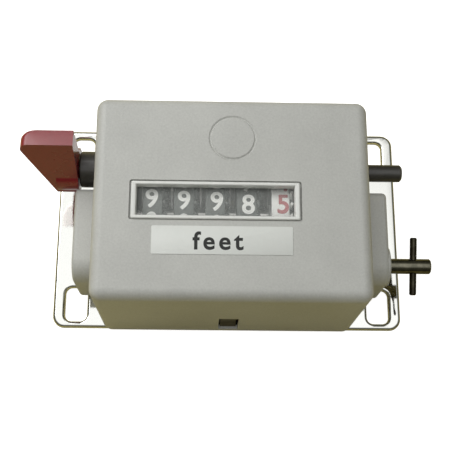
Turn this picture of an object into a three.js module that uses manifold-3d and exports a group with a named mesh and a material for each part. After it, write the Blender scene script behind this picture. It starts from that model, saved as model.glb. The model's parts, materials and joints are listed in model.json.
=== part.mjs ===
// Five-figure distance counter of a measuring wheel, with a cross-pin drive shaft and a lever reset.
// Millimetres, +Z up. The origin is the centre of the base plate's underside.
// +Z is the way the figures face, +X the drive-shaft side, -Y the side nearest the reader.
import * as THREE from "three";
import { mergeVertices } from "three/addons/utils/BufferGeometryUtils.js";
import Module from "manifold-3d";

// Base plate
const PLATE_HALF_X = 47.75;
const PLATE_HALF_Y = 28.8;
const PLATE_THICK = 1.6;
const PLATE_CORNER = 3.2;
const PLATE_EASE = 0.3;
const SLOT = { x: 41.5, y: 22.05, shift: -0.3, wide: 6, long: 9.4, corner: 1.8 };
const SCREW = { x: 26, ys: [-11, 9], head: 2.8, shank: 1.4, top: 4.6, cone: 1.4, gap: 0.15 };
const SCREW_SLOT = { half: 0.35, deep: 0.6 };
const CATCH = { half: 2.1, thick: 1, high: 16, hook: 0.9, hookLow: 4.2, hookHigh: 6.4, gap: 0.25 };

// Hood
const HOOD_HALF_X = 34;
const HOOD_NEAR = -29.35;
const HOOD_FAR = 22.4;
const HOOD_TOP = 39.4;
const HOOD_WALL = 1.2;
const HOOD_ROUND = 2.4;
const HOOD_CORNER = 3;
const NOTCH_WIDE = 5.2;
const NOTCH_TOP = 17;
const RING_MARK = { x: -0.35, y: 11.3, radius: 5.85, wide: 0.5, deep: 0.2 };

// Window and label
const WINDOW_X = -4.05;
const WINDOW_Y = -4.85;
const BEZEL_WIDE = 41.1;
const BEZEL_HIGH = 9.6;
const BEZEL_RISE = 0.55;
const SEAT_DEEP = 0.4;
const SEAT_MARGIN = 0.5;
const SKIRT_MARGIN = 0.8;
const SIGHT_WIDE = 37.5;
const SIGHT_HIGH = 7;
const SIGHT_SHIFT = -0.15;
const PANE_THICK = 0.7;
const PANE_MARGIN = 2;
const BEZEL_EASE = 0.45;
const LABEL = { x0: -19.4, x1: 14.6, y0: -18.4, y1: -11.3, thick: 0.15 };

// Shaft centres in the Y-Z plane
const WHEEL_AXIS = { y: -4.6, z: 27.225 };
const DRIVE_AXIS = { y: -14.55, z: 16 };
const PINION_AXIS = { y: -16.5, z: 27.225 };
const RESET_AXIS = { y: 10.4, z: 19 };
const TIE_RODS = { lower: { y: 0, z: 8 }, upper: { y: 8.5, z: 32 } };

// Figure wheels, from the units wheel on the right to the ten-thousands wheel on the left
const WHEEL_NAMES = ["units", "tens", "hundreds", "thousands", "ten_thousands"];
const UNITS_X = 11.35;
const WHEEL_PITCH = 7.7;
const WHEEL_RADIUS = 9.6;
const RIM_HALF = 2.45;
const GEAR_FACE = 0.95;
const LOCK_DISC = { radius: 7.1, lug: 7.45, face: 0.8 };
const HEART = { low: 2.6, high: 4.6, face: 0.75 };
const SPINDLE_RADIUS = 1.5;
const PINION_SHAFT_RADIUS = 1.25;
const PINION_FACE = 2.4;
const WHEEL_SPACER_RADIUS = 2.6;
const PINION_SPACER_RADIUS = 1.9;
const RUN_GAP = 0.08;

// Gears: the transfer train and the drive train
const PRESSURE_ANGLE = 20;
const TRANSFER = { module: 0.85, backlash: 0.22 };
const TRANSFER_WHEEL = { ...TRANSFER, teeth: 20, addendum: 0.5, dedendum: 0.95 };
const TRANSFER_PINION = { ...TRANSFER, teeth: 8, addendum: 0.62, dedendum: 1.05 };
const DRIVE_TEETH = { module: 0.75, teeth: 20, backlash: 0.12, addendum: 0.6, dedendum: 0.85 };
const DRIVE_GEAR = { x0: 14.4, x1: 17, hubRadius: 4, hubEnd: 20.4 };

// End frames
const FRAME_IN = 29.6;
const FRAME_OUT = 32.3;
const FOOT_IN = 22;
const FOOT_TOP = 5;
const UPRIGHT = { near: -20.1, far: 16, nearTop: 30, farTop: 28, flat: [-13, 10.5], top: 36 };
const BOSS_LEFT_FACE = 40.7;
const BOSS_RIGHT_FACE = 41.4;
const BOSS_RING = { face: 41.9, radius: 5.2 };
const BOSS_TOP = 21.6;
const BOSS_FAR = 4.3;
const BOSS_CORNER = 1.6;
const BOSS_ROUND = 5.6;
const BLIND_WALL = 2;
const FIT_GAP = 0.3;
const REST_GAP = 0.02;
const TIE_RADIUS = 1.5;

// Drive shaft
const DRIVE_RADIUS = 2;
const DRIVE_END = 53.1;
const DRIVE_CHAMFER = 0.35;
const CROSS_PIN = { x: 48.6, radius: 0.92, half: 7.6, lean: 17.4 };
const BUSH_RADIUS = 3.2;
const COLLAR = { x0: 25.5, x1: 29.2, radius: 3.9 };

// Reset shaft, hub, lever and fingers
const RESET_RADIUS = 2.3;
const RESET_END = 46;
const HUB = { x0: -39.6, x1: -34.7, radius: 4.8 };
const LEVER = { x0: -39.9, hubX: -45.6, tipX: -53.3, hubRadius: 5.7, reach: 16.6, lean: 7 };
const LEVER_BLADE = { root: -1.5, rootNear: -5.4, rootFar: 3.4, end: 2.35, ease: 0.8, tipRound: 1.9 };
const SLEEVE = { x0: -27, x1: 12, radius: 3.5 };
const FINGER = { reach: 12.2, half: 1.4, thick: 0.5, rest: 202 };
const RETAINING_RING = { x0: 27.6, x1: 28.6, radius: 4 };
const SPRING = { x0: 14, x1: 23, coil: 3.6, wire: 0.35, turns: 5, steps: 12, sides: 5 };

const ROUND_SEGMENTS = 20;
const WHEEL_SEGMENTS = 40;
const DEGREE = Math.PI / 180;
const FAR = 200;
const SIDES = [-1, 1];

const wasm = await Module();
wasm.setup();

// A closed three.js geometry as a solid.
function solidOf(geometry) {
  geometry.deleteAttribute("normal");
  geometry.deleteAttribute("uv");
  const merged = mergeVertices(geometry, 1e-4);
  return new wasm.Manifold(
    new wasm.Mesh({
      numProp: 3,
      vertProperties: merged.attributes.position.array,
      triVerts: new Uint32Array(merged.index.array),
    }),
  );
}

function box(x0, x1, y0, y1, z0, z1) {
  const geometry = new THREE.BoxGeometry(x1 - x0, y1 - y0, z1 - z0);
  return solidOf(geometry.translate((x0 + x1) / 2, (y0 + y1) / 2, (z0 + z1) / 2));
}

// A shape's outline as three.js points.
const outline = (points) => new THREE.Shape(points.map(([a, b]) => new THREE.Vector2(a, b)));

// A Y-Z outline run along X.
function prismX(points, x0, x1) {
  const geometry = new THREE.ExtrudeGeometry(outline(points), { depth: x1 - x0, bevelEnabled: false });
  const turn = new THREE.Matrix4().makeBasis(
    new THREE.Vector3(0, 1, 0),
    new THREE.Vector3(0, 0, 1),
    new THREE.Vector3(1, 0, 0),
  );
  return solidOf(geometry.applyMatrix4(turn).translate(x0, 0, 0));
}

// An X-Y outline run along Z, with its ends rounded over when round is given.
function prismZ(shape, z0, z1, round = 0, steps = 1) {
  const geometry = new THREE.ExtrudeGeometry(shape, {
    depth: z1 - z0 - 2 * round,
    bevelEnabled: round > 0,
    bevelThickness: round,
    bevelSize: round,
    bevelOffset: -round,
    bevelSegments: steps,
    curveSegments: 4,
  });
  return solidOf(geometry.translate(0, 0, z0 + round));
}

// A rectangle with rounded corners.
function roundedRectangle(x0, x1, y0, y1, corner) {
  const shape = new THREE.Shape();
  shape.moveTo(x0 + corner, y0);
  shape.lineTo(x1 - corner, y0);
  shape.absarc(x1 - corner, y0 + corner, corner, -Math.PI / 2, 0, false);
  shape.lineTo(x1, y1 - corner);
  shape.absarc(x1 - corner, y1 - corner, corner, 0, Math.PI / 2, false);
  shape.lineTo(x0 + corner, y1);
  shape.absarc(x0 + corner, y1 - corner, corner, Math.PI / 2, Math.PI, false);
  shape.lineTo(x0, y0 + corner);
  shape.absarc(x0 + corner, y0 + corner, corner, Math.PI, Math.PI * 1.5, false);
  return shape;
}

const centred = (x, y, wide, high, corner) =>
  roundedRectangle(x - wide / 2, x + wide / 2, y - high / 2, y + high / 2, corner);

// A turned piece along X, from [x, radius] steps, round the axis at y, z.
function turnedX(steps, axis, segments = ROUND_SEGMENTS) {
  const profile = [
    new THREE.Vector2(0, steps[0][0]),
    ...steps.map(([x, radius]) => new THREE.Vector2(radius, x)),
    new THREE.Vector2(0, steps.at(-1)[0]),
  ];
  const geometry = new THREE.LatheGeometry(profile, segments);
  return solidOf(geometry.rotateZ(-Math.PI / 2).translate(0, axis.y, axis.z));
}

const rodX = (radius, x0, x1, axis, segments) => turnedX([[x0, radius], [x1, radius]], axis, segments);

// A rod with both ends chamfered.
const pinX = (radius, x0, x1, axis, chamfer) =>
  turnedX([[x0, radius - chamfer], [x0 + chamfer, radius], [x1 - chamfer, radius], [x1, radius - chamfer]], axis);

// A turned piece along Z, from [z, radius] steps.
function turnedZ(steps, x, y, segments = ROUND_SEGMENTS) {
  const profile = [
    new THREE.Vector2(0, steps[0][0]),
    ...steps.map(([z, radius]) => new THREE.Vector2(radius, z)),
    new THREE.Vector2(0, steps.at(-1)[0]),
  ];
  return solidOf(new THREE.LatheGeometry(profile, segments).rotateX(Math.PI / 2).translate(x, y, 0));
}

// A gear's outline round the origin, with one tooth at the phase angle.
function gearOutline({ teeth, module, backlash, addendum, dedendum, phase }) {
  const pitch = (teeth * module) / 2;
  const half = (Math.PI * module) / 4 - backlash / 2;
  const slope = Math.tan(PRESSURE_ANGLE * DEGREE);
  const points = [];
  for (let k = 0; k < teeth; k++) {
    const middle = phase + (k * 2 * Math.PI) / teeth;
    const tip = Math.max(half - addendum * slope * 1.25, 0.12);
    const root = half + dedendum * slope * 0.4;
    const flank = [
      [pitch - dedendum, -root],
      [pitch + addendum, -tip],
      [pitch + addendum, tip],
      [pitch - dedendum, root],
    ];
    for (const [radius, across] of flank) {
      const angle = middle + across / radius;
      points.push([radius * Math.cos(angle), radius * Math.sin(angle)]);
    }
  }
  return points;
}

const moved = (points, axis) => points.map(([a, b]) => [a + axis.y, b + axis.z]);

const group = new THREE.Group();
group.name = "measuring_wheel_counter";

const FINISH = {
  zinc: { color: 0xc9ccd0, roughness: 0.18, metalness: 1 },
  grey: { color: 0xa9aaa4, roughness: 0.62, metalness: 0 },
  steel: { color: 0xa5a39c, roughness: 0.35, metalness: 1 },
  drive: { color: 0x8d8468, roughness: 0.4, metalness: 1 },
  bronze: { color: 0xa8824e, roughness: 0.45, metalness: 1 },
  black: { color: 0x26262a, roughness: 0.5, metalness: 0 },
  figure_black: { color: 0x1f2022, roughness: 0.6, metalness: 0 },
  figure_white: { color: 0xe8e6df, roughness: 0.55, metalness: 0 },
  red: { color: 0x9c1424, roughness: 0.3, metalness: 0 },
  nylon: { color: 0xd9d4c4, roughness: 0.6, metalness: 0 },
  bezel: { color: 0xe6e7e4, roughness: 0.3, metalness: 0 },
  clear: { color: 0xdfe6e6, roughness: 0.05, metalness: 0, transparent: true, opacity: 0.3 },
  paper: { color: 0xf0f0ea, roughness: 0.7, metalness: 0 },
};

// Puts a solid into the group as one named mesh.
function add(name, made, finish) {
  const { numProp, vertProperties, triVerts } = made.getMesh();
  const positions = new Float32Array((vertProperties.length / numProp) * 3);
  for (let i = 0; i < positions.length / 3; i++) {
    positions.set(vertProperties.subarray(i * numProp, i * numProp + 3), i * 3);
  }
  const indexed = new THREE.BufferGeometry();
  indexed.setAttribute("position", new THREE.BufferAttribute(positions, 3));
  indexed.setIndex(new THREE.BufferAttribute(triVerts, 1));
  const geometry = indexed.toNonIndexed();
  geometry.computeVertexNormals();
  const mesh = new THREE.Mesh(geometry, new THREE.MeshStandardMaterial(FINISH[finish]));
  mesh.name = name;
  group.add(mesh);
}

// Base plate: slots at the corners, countersunk holes for the frame screws and two catches for the hood
const screwPlaces = SIDES.flatMap((side) => SCREW.ys.map((y) => ({ side, x: side * SCREW.x, y })));

function countersink(x, y, gap) {
  const { head, shank, cone } = SCREW;
  return turnedZ([[-gap, head + gap * 2], [cone, shank + gap], [PLATE_THICK + 1, shank + gap]], x, y);
}

// A catch bent up from the plate, with a hook that snaps into the hood's wall.
function hoodCatch(wallInside, out) {
  const { half, thick, high, hook, hookLow, hookHigh, gap } = CATCH;
  const outer = wallInside - out * gap;
  const points = [
    [outer - out * thick, PLATE_THICK - 0.4],
    [outer, PLATE_THICK - 0.4],
    [outer, hookLow],
    [outer + out * hook, hookLow],
    [outer, hookHigh],
    [outer, high],
    [outer - out * thick, high],
  ];
  return prismX(out > 0 ? points : points.reverse(), -half, half);
}

let plate = prismZ(
  roundedRectangle(-PLATE_HALF_X, PLATE_HALF_X, -PLATE_HALF_Y, PLATE_HALF_Y, PLATE_CORNER),
  0,
  PLATE_THICK,
  PLATE_EASE,
);
for (const side of SIDES) {
  for (const end of SIDES) {
    const slot = centred(side * SLOT.x, end * SLOT.y + SLOT.shift, SLOT.wide, SLOT.long, SLOT.corner);
    plate = plate.subtract(prismZ(slot, -1, PLATE_THICK + 1));
  }
}
for (const { x, y } of screwPlaces) {
  plate = plate.subtract(countersink(x, y, SCREW.gap));
}
plate = plate
  .add(hoodCatch(HOOD_NEAR + HOOD_WALL, -1))
  .add(hoodCatch(HOOD_FAR - HOOD_WALL, 1));
add("base_plate", plate, "zinc");

for (const { side, x, y } of screwPlaces) {
  const { half, deep } = SCREW_SLOT;
  const slotCut = box(x - SCREW.head, x + SCREW.head, y - half, y + half, -1, deep);
  const screw = turnedZ([[0.05, SCREW.head], [SCREW.cone, SCREW.shank], [SCREW.top, SCREW.shank]], x, y);
  add(`frame_screw_${side > 0 ? "right" : "left"}_${y < 0 ? "near" : "far"}`, screw.subtract(slotCut), "steel");
}

// Hood: a five-sided shell, open below, with cut-outs for the bosses and the reset shaft
const bossOutline = (grow, foot) => {
  const nose = Array.from({ length: 9 }, (_, i) => (90 + i * 11.25) * DEGREE);
  const round = BOSS_ROUND + grow;
  const far = Array.from({ length: 5 }, (_, i) => i * 22.5 * DEGREE);
  return [
    ...far.map((a) => [
      BOSS_FAR + grow - BOSS_CORNER * (1 - Math.cos(a)),
      BOSS_TOP + grow - BOSS_CORNER * (1 - Math.sin(a)),
    ]),
    ...nose.map((a) => [DRIVE_AXIS.y + round * Math.cos(a), DRIVE_AXIS.z + round * Math.sin(a)]),
    [DRIVE_AXIS.y - round, foot],
    [BOSS_FAR + grow, foot],
  ];
};

let hood = prismZ(
  roundedRectangle(-HOOD_HALF_X, HOOD_HALF_X, HOOD_NEAR, HOOD_FAR, HOOD_CORNER),
  -HOOD_ROUND,
  HOOD_TOP,
  HOOD_ROUND,
  4,
);
const hollow = prismZ(
  roundedRectangle(
    -HOOD_HALF_X + HOOD_WALL,
    HOOD_HALF_X - HOOD_WALL,
    HOOD_NEAR + HOOD_WALL,
    HOOD_FAR - HOOD_WALL,
    HOOD_CORNER - HOOD_WALL,
  ),
  -HOOD_ROUND,
  HOOD_TOP - HOOD_WALL,
  HOOD_ROUND - HOOD_WALL,
  2,
);
hood = hood.subtract(hollow).subtract(box(-FAR, FAR, -FAR, FAR, -FAR, PLATE_THICK + REST_GAP));
const shaftSlot = RESET_RADIUS + 0.8;
for (const side of SIDES) {
  const wall = [side * (HOOD_HALF_X - 2), side * (HOOD_HALF_X + 2)].sort((a, b) => a - b);
  hood = hood
    .subtract(prismX(bossOutline(FIT_GAP, 0), ...wall))
    .subtract(box(...wall, RESET_AXIS.y - shaftSlot, RESET_AXIS.y + shaftSlot, -1, RESET_AXIS.z))
    .subtract(rodX(shaftSlot, ...wall, RESET_AXIS));
}
for (const [y0, y1] of [[HOOD_NEAR - 1, HOOD_NEAR + 2], [HOOD_FAR - 2, HOOD_FAR + 1]]) {
  hood = hood.subtract(box(-NOTCH_WIDE / 2, NOTCH_WIDE / 2, y0, y1, CATCH.hookLow - 0.3, NOTCH_TOP));
}
const seat = centred(WINDOW_X, WINDOW_Y, BEZEL_WIDE + 2 * SEAT_MARGIN, BEZEL_HIGH + 2 * SEAT_MARGIN, 1);
const throat = centred(WINDOW_X, WINDOW_Y, BEZEL_WIDE - 2 * SKIRT_MARGIN, BEZEL_HIGH - 2 * SKIRT_MARGIN, 0.6);
const groove = (radius) =>
  turnedZ([[HOOD_TOP - RING_MARK.deep, radius], [HOOD_TOP + 1, radius]], RING_MARK.x, RING_MARK.y, 40);
hood = hood
  .subtract(prismZ(seat, HOOD_TOP - SEAT_DEEP, HOOD_TOP + 1))
  .subtract(prismZ(throat, HOOD_TOP - 2 * HOOD_WALL, HOOD_TOP + 1))
  .subtract(groove(RING_MARK.radius + RING_MARK.wide / 2).subtract(groove(RING_MARK.radius - RING_MARK.wide / 2)));
add("hood", hood, "grey");

// Window: a bevelled bezel with a skirt through the hood, and a clear pane under the skirt
const bezelTop = HOOD_TOP + BEZEL_RISE;
const bezelLow = HOOD_TOP - SEAT_DEEP + 0.05;
const skirtLow = HOOD_TOP - HOOD_WALL - 0.1;
const bezelShape = centred(WINDOW_X, WINDOW_Y, BEZEL_WIDE, BEZEL_HIGH, 0.8);
const bezelFlange = prismZ(bezelShape, bezelLow - BEZEL_EASE, bezelTop, BEZEL_EASE).intersect(
  box(-FAR, FAR, -FAR, FAR, bezelLow, FAR),
);
const skirt = centred(
  WINDOW_X,
  WINDOW_Y,
  BEZEL_WIDE - 2 * SKIRT_MARGIN - 2 * FIT_GAP,
  BEZEL_HIGH - 2 * SKIRT_MARGIN - 2 * FIT_GAP,
  0.4,
);
const sight = centred(WINDOW_X, WINDOW_Y + SIGHT_SHIFT, SIGHT_WIDE, SIGHT_HIGH, 0.4);
add(
  "window_bezel",
  bezelFlange.add(prismZ(skirt, skirtLow, bezelLow + 0.1)).subtract(prismZ(sight, skirtLow - 1, bezelTop + 1)),
  "bezel",
);
const paneTop = skirtLow - 0.05;
const paneShape = centred(WINDOW_X, WINDOW_Y, SIGHT_WIDE + 2 * PANE_MARGIN, SIGHT_HIGH + 2 * PANE_MARGIN, 0.5);
add("window_pane", prismZ(paneShape, paneTop - PANE_THICK, paneTop), "clear");
add(
  "unit_label",
  prismZ(
    roundedRectangle(LABEL.x0, LABEL.x1, LABEL.y0, LABEL.y1, 0.3),
    HOOD_TOP + REST_GAP,
    HOOD_TOP + REST_GAP + LABEL.thick,
  ),
  "paper",
);

// End frames: an upright, a foot and the bearing boss that stands out through the hood's side
const frameLow = PLATE_THICK + REST_GAP;
const uprightOutline = [
  [UPRIGHT.far, frameLow],
  [UPRIGHT.far, UPRIGHT.farTop],
  [UPRIGHT.flat[1], UPRIGHT.top],
  [UPRIGHT.flat[0], UPRIGHT.top],
  [UPRIGHT.near, UPRIGHT.nearTop],
  [UPRIGHT.near, frameLow],
];
const between = (side, a, b) => [side * a, side * b].sort((p, q) => p - q);

// The bearing goes right through the right-hand boss and stops short of the left-hand boss's face.
function endFrame(side) {
  const face = side > 0 ? BOSS_RIGHT_FACE : BOSS_LEFT_FACE;
  const footY = [SCREW.ys[0] - 5, SCREW.ys[1] + 5];
  let frame = prismX(uprightOutline, ...between(side, FRAME_IN, FRAME_OUT))
    .add(box(...between(side, FOOT_IN, FRAME_OUT), ...footY, frameLow, FOOT_TOP))
    .add(prismX(bossOutline(0, frameLow), ...between(side, FRAME_OUT - 1, face)));
  if (side > 0) {
    frame = frame.add(rodX(BOSS_RING.radius, face - 1, BOSS_RING.face, DRIVE_AXIS));
  }
  const bores = [
    [SPINDLE_RADIUS, WHEEL_AXIS],
    [PINION_SHAFT_RADIUS, PINION_AXIS],
    [RESET_RADIUS, RESET_AXIS],
    [TIE_RADIUS, TIE_RODS.lower],
    [TIE_RADIUS, TIE_RODS.upper],
  ];
  for (const [radius, axis] of bores) {
    frame = frame.subtract(rodX(radius + RUN_GAP, ...between(side, FRAME_IN - 1, FRAME_OUT + 1), axis));
  }
  const bushEnd = side > 0 ? BOSS_RING.face + 1 : face - BLIND_WALL;
  frame = frame.subtract(rodX(BUSH_RADIUS + RUN_GAP, ...between(side, FRAME_IN - 1, bushEnd), DRIVE_AXIS));
  for (const y of SCREW.ys) {
    const hole = [[0, SCREW.shank + SCREW.gap], [SCREW.top + 0.1, SCREW.shank + SCREW.gap]];
    frame = frame.subtract(turnedZ(hole, side * SCREW.x, y));
  }
  return frame;
}

add("end_frame_left", endFrame(-1), "grey");
add("end_frame_right", endFrame(1), "grey");
for (const [place, axis] of Object.entries(TIE_RODS)) {
  add(`tie_rod_${place}`, pinX(TIE_RADIUS, -FRAME_OUT, FRAME_OUT, axis, 0.3), "steel");
}

// Drive shaft with its bushes, gear, collar and cross pin
const bush = (x0, x1) =>
  rodX(BUSH_RADIUS, x0, x1, DRIVE_AXIS).subtract(rodX(DRIVE_RADIUS + RUN_GAP, x0 - 1, x1 + 1, DRIVE_AXIS));
add("drive_bush_right", bush(FRAME_IN, BOSS_RING.face + 0.15), "bronze");
const bushLeftEnd = BLIND_WALL + FIT_GAP - BOSS_LEFT_FACE;
add("drive_bush_left", bush(bushLeftEnd, -FRAME_IN), "bronze");

function alongPin(radius, half) {
  const geometry = new THREE.CylinderGeometry(radius, radius, 2 * half, 20);
  geometry.rotateX(CROSS_PIN.lean * DEGREE);
  return solidOf(geometry.translate(CROSS_PIN.x, DRIVE_AXIS.y, DRIVE_AXIS.z));
}

const driveBody = turnedX(
  [
    [bushLeftEnd, DRIVE_RADIUS],
    [DRIVE_END - DRIVE_CHAMFER, DRIVE_RADIUS],
    [DRIVE_END, DRIVE_RADIUS - DRIVE_CHAMFER],
  ],
  DRIVE_AXIS,
);
add("drive_shaft", driveBody.subtract(alongPin(CROSS_PIN.radius + 0.06, DRIVE_RADIUS * 2)), "drive");
add("drive_cross_pin", alongPin(CROSS_PIN.radius, CROSS_PIN.half), "drive");

const toWheel = Math.atan2(WHEEL_AXIS.z - DRIVE_AXIS.z, WHEEL_AXIS.y - DRIVE_AXIS.y);
const driveBore = rodX(DRIVE_RADIUS + RUN_GAP, 0, FRAME_OUT, DRIVE_AXIS);
const driveGearOutline = moved(gearOutline({ ...DRIVE_TEETH, phase: toWheel }), DRIVE_AXIS);
add(
  "drive_gear",
  prismX(driveGearOutline, DRIVE_GEAR.x0, DRIVE_GEAR.x1)
    .add(rodX(DRIVE_GEAR.hubRadius, DRIVE_GEAR.x0, DRIVE_GEAR.hubEnd, DRIVE_AXIS))
    .subtract(driveBore),
  "nylon",
);
add("drive_collar", rodX(COLLAR.radius, COLLAR.x0, COLLAR.x1, DRIVE_AXIS).subtract(driveBore), "steel");

// Figure wheels on their spindle: rim, driven gear on the right, lock disc and heart cam on the left
add("wheel_spindle", pinX(SPINDLE_RADIUS, -FRAME_OUT, FRAME_OUT, WHEEL_AXIS, 0.3), "steel");

function lockDisc(x0, x1) {
  const { radius, lug } = LOCK_DISC;
  const points = Array.from({ length: 30 }, (_, i) => {
    const step = Math.abs(i - 15);
    const reach = step < 1 ? radius - 1.2 : step < 3 ? lug : radius;
    const angle = i * 12 * DEGREE;
    return [reach * Math.cos(angle), reach * Math.sin(angle)];
  });
  return prismX(moved(points, WHEEL_AXIS), x0, x1);
}

function heartCam(x0, x1) {
  const points = Array.from({ length: 20 }, (_, i) => {
    const angle = (i - 10) * 18 * DEGREE;
    const reach = HEART.low + ((HEART.high - HEART.low) * Math.abs(i - 10)) / 10;
    return [reach * Math.cos(angle), reach * Math.sin(angle)];
  });
  return prismX(moved(points, WHEEL_AXIS), x0, x1);
}

WHEEL_NAMES.forEach((name, place) => {
  const x = UNITS_X - place * WHEEL_PITCH;
  const right = x + RIM_HALF;
  const left = x - RIM_HALF;
  const drivenByShaft = place === 0;
  const gear = drivenByShaft
    ? gearOutline({ ...DRIVE_TEETH, phase: toWheel + Math.PI + Math.PI / DRIVE_TEETH.teeth })
    : gearOutline({ ...TRANSFER_WHEEL, phase: Math.PI });
  const gearEnd = drivenByShaft ? DRIVE_GEAR.x1 + 0.3 : right + GEAR_FACE;
  const teeth = prismX(moved(gear, WHEEL_AXIS), right - 0.5, gearEnd);
  const discLeft = left - LOCK_DISC.face;
  const wheel = rodX(WHEEL_RADIUS, left, right, WHEEL_AXIS, WHEEL_SEGMENTS)
    .add(teeth)
    .add(lockDisc(discLeft, left + 0.5))
    .add(heartCam(discLeft - HEART.face, discLeft + 0.3))
    .subtract(rodX(SPINDLE_RADIUS + RUN_GAP, x - 10, x + 10, WHEEL_AXIS));
  add(`figure_wheel_${name}`, wheel, place === 0 ? "figure_white" : "figure_black");
});

// Transfer pinions on their shaft, one between each pair of figure wheels
add("pinion_shaft", pinX(PINION_SHAFT_RADIUS, -FRAME_OUT, FRAME_OUT, PINION_AXIS, 0.25), "steel");
for (let pair = 0; pair < WHEEL_NAMES.length - 1; pair++) {
  const gapMiddle = UNITS_X - (pair + 0.5) * WHEEL_PITCH;
  const pinionTeeth = { ...TRANSFER_PINION, phase: Math.PI / TRANSFER_PINION.teeth };
  const x0 = gapMiddle - PINION_FACE / 2;
  const pinion = prismX(moved(gearOutline(pinionTeeth), PINION_AXIS), x0, x0 + PINION_FACE).subtract(
    rodX(PINION_SHAFT_RADIUS + RUN_GAP, x0 - 1, x0 + PINION_FACE + 1, PINION_AXIS),
  );
  add(`transfer_pinion_${WHEEL_NAMES[pair]}_${WHEEL_NAMES[pair + 1]}`, pinion, "nylon");
}

// Spacers that fill the shafts between the end frames and the outermost wheels and pinions
const tube = (radius, bore, x0, x1, axis) =>
  rodX(radius, x0, x1, axis).subtract(rodX(bore + RUN_GAP, x0 - 1, x1 + 1, axis));
const spacerEnd = FRAME_IN - FIT_GAP;
const pinionEnds = [UNITS_X - 3.5 * WHEEL_PITCH - 1.5, UNITS_X - 0.5 * WHEEL_PITCH + 1.5];
const lastWheelLeft = UNITS_X - 4 * WHEEL_PITCH - RIM_HALF - LOCK_DISC.face - HEART.face;
const spacers = {
  pinion_spacer_right: [PINION_SPACER_RADIUS, PINION_SHAFT_RADIUS, pinionEnds[1], spacerEnd, PINION_AXIS],
  pinion_spacer_left: [PINION_SPACER_RADIUS, PINION_SHAFT_RADIUS, -spacerEnd, pinionEnds[0], PINION_AXIS],
  wheel_spacer_right: [WHEEL_SPACER_RADIUS, SPINDLE_RADIUS, DRIVE_GEAR.x1 + 0.6, spacerEnd, WHEEL_AXIS],
  wheel_spacer_left: [WHEEL_SPACER_RADIUS, SPINDLE_RADIUS, -spacerEnd, lastWheelLeft - FIT_GAP, WHEEL_AXIS],
};
for (const [name, sizes] of Object.entries(spacers)) {
  add(name, tube(...sizes), "steel");
}

// Reset shaft, its black hub, the red lever, the fingers and the return spring
add("reset_shaft", pinX(RESET_RADIUS, LEVER.hubX + 0.6, RESET_END, RESET_AXIS, 0.45), "black");
const resetBore = (x0, x1) => rodX(RESET_RADIUS + RUN_GAP, x0, x1, RESET_AXIS);
add(
  "reset_hub",
  turnedX([[HUB.x0, HUB.radius], [HUB.x1 - 0.4, HUB.radius], [HUB.x1, HUB.radius - 0.4]], RESET_AXIS).subtract(
    resetBore(HUB.x0 - 1, HUB.x1 + 1),
  ),
  "black",
);

// Points given along and across the lever, as Y-Z points.
const lean = LEVER.lean * DEGREE;
const onLever = ([along, across]) => [
  RESET_AXIS.y + along * Math.sin(lean) + across * Math.cos(lean),
  RESET_AXIS.z + along * Math.cos(lean) - across * Math.sin(lean),
];

// A blade broad at its far end, cut to its outline as seen from the reader, on a round hub.
function resetLever() {
  const { x0, hubX, tipX, hubRadius, reach } = LEVER;
  const { root, rootNear, rootFar, end, ease, tipRound } = LEVER_BLADE;
  const section = [
    [root, rootNear],
    [root, rootFar],
    [reach - ease, end],
    [reach, end - ease],
    [reach, ease - end],
    [reach - ease, -end],
  ];
  const blade = prismX(section.map(onLever).reverse(), tipX, x0);
  const tip = Array.from({ length: 7 }, (_, i) => (90 + i * 20) * DEGREE);
  const face = [
    [x0, -hubRadius - 1],
    [x0, reach + 1],
    [tipX + tipRound, reach + 1],
    ...tip.map((a) => [tipX + tipRound + tipRound * Math.cos(a), reach - tipRound + tipRound * Math.sin(a)]),
    [hubX, -hubRadius - 1],
  ];
  const depth = 4 * hubRadius;
  const cutter = new THREE.ExtrudeGeometry(outline(face), { depth, bevelEnabled: false });
  cutter.rotateX(Math.PI / 2).translate(0, depth / 2, 0);
  cutter.rotateX(-lean).translate(0, RESET_AXIS.y, RESET_AXIS.z);
  return blade
    .add(rodX(hubRadius, hubX, x0, RESET_AXIS))
    .intersect(solidOf(cutter))
    .subtract(resetBore(hubX + 0.4, x0 + 1));
}
add("reset_lever", resetLever(), "red");

let fingers = rodX(SLEEVE.radius, SLEEVE.x0, SLEEVE.x1, RESET_AXIS);
WHEEL_NAMES.forEach((_, place) => {
  const middle = UNITS_X - place * WHEEL_PITCH - RIM_HALF - LOCK_DISC.face - 0.4;
  const geometry = new THREE.BoxGeometry(FINGER.thick, FINGER.reach, 2 * FINGER.half);
  geometry.translate(0, FINGER.reach / 2, 0).rotateX(FINGER.rest * DEGREE);
  fingers = fingers.add(solidOf(geometry.translate(middle, RESET_AXIS.y, RESET_AXIS.z)));
});
add("reset_fingers", fingers.subtract(resetBore(SLEEVE.x0 - 1, SLEEVE.x1 + 1)), "steel");
const { x0: ringStart, x1: ringEnd, radius: ringRadius } = RETAINING_RING;
add(
  "reset_retaining_ring",
  rodX(ringRadius, ringStart, ringEnd, RESET_AXIS).subtract(resetBore(ringStart - 1, ringEnd + 1)),
  "steel",
);

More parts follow.
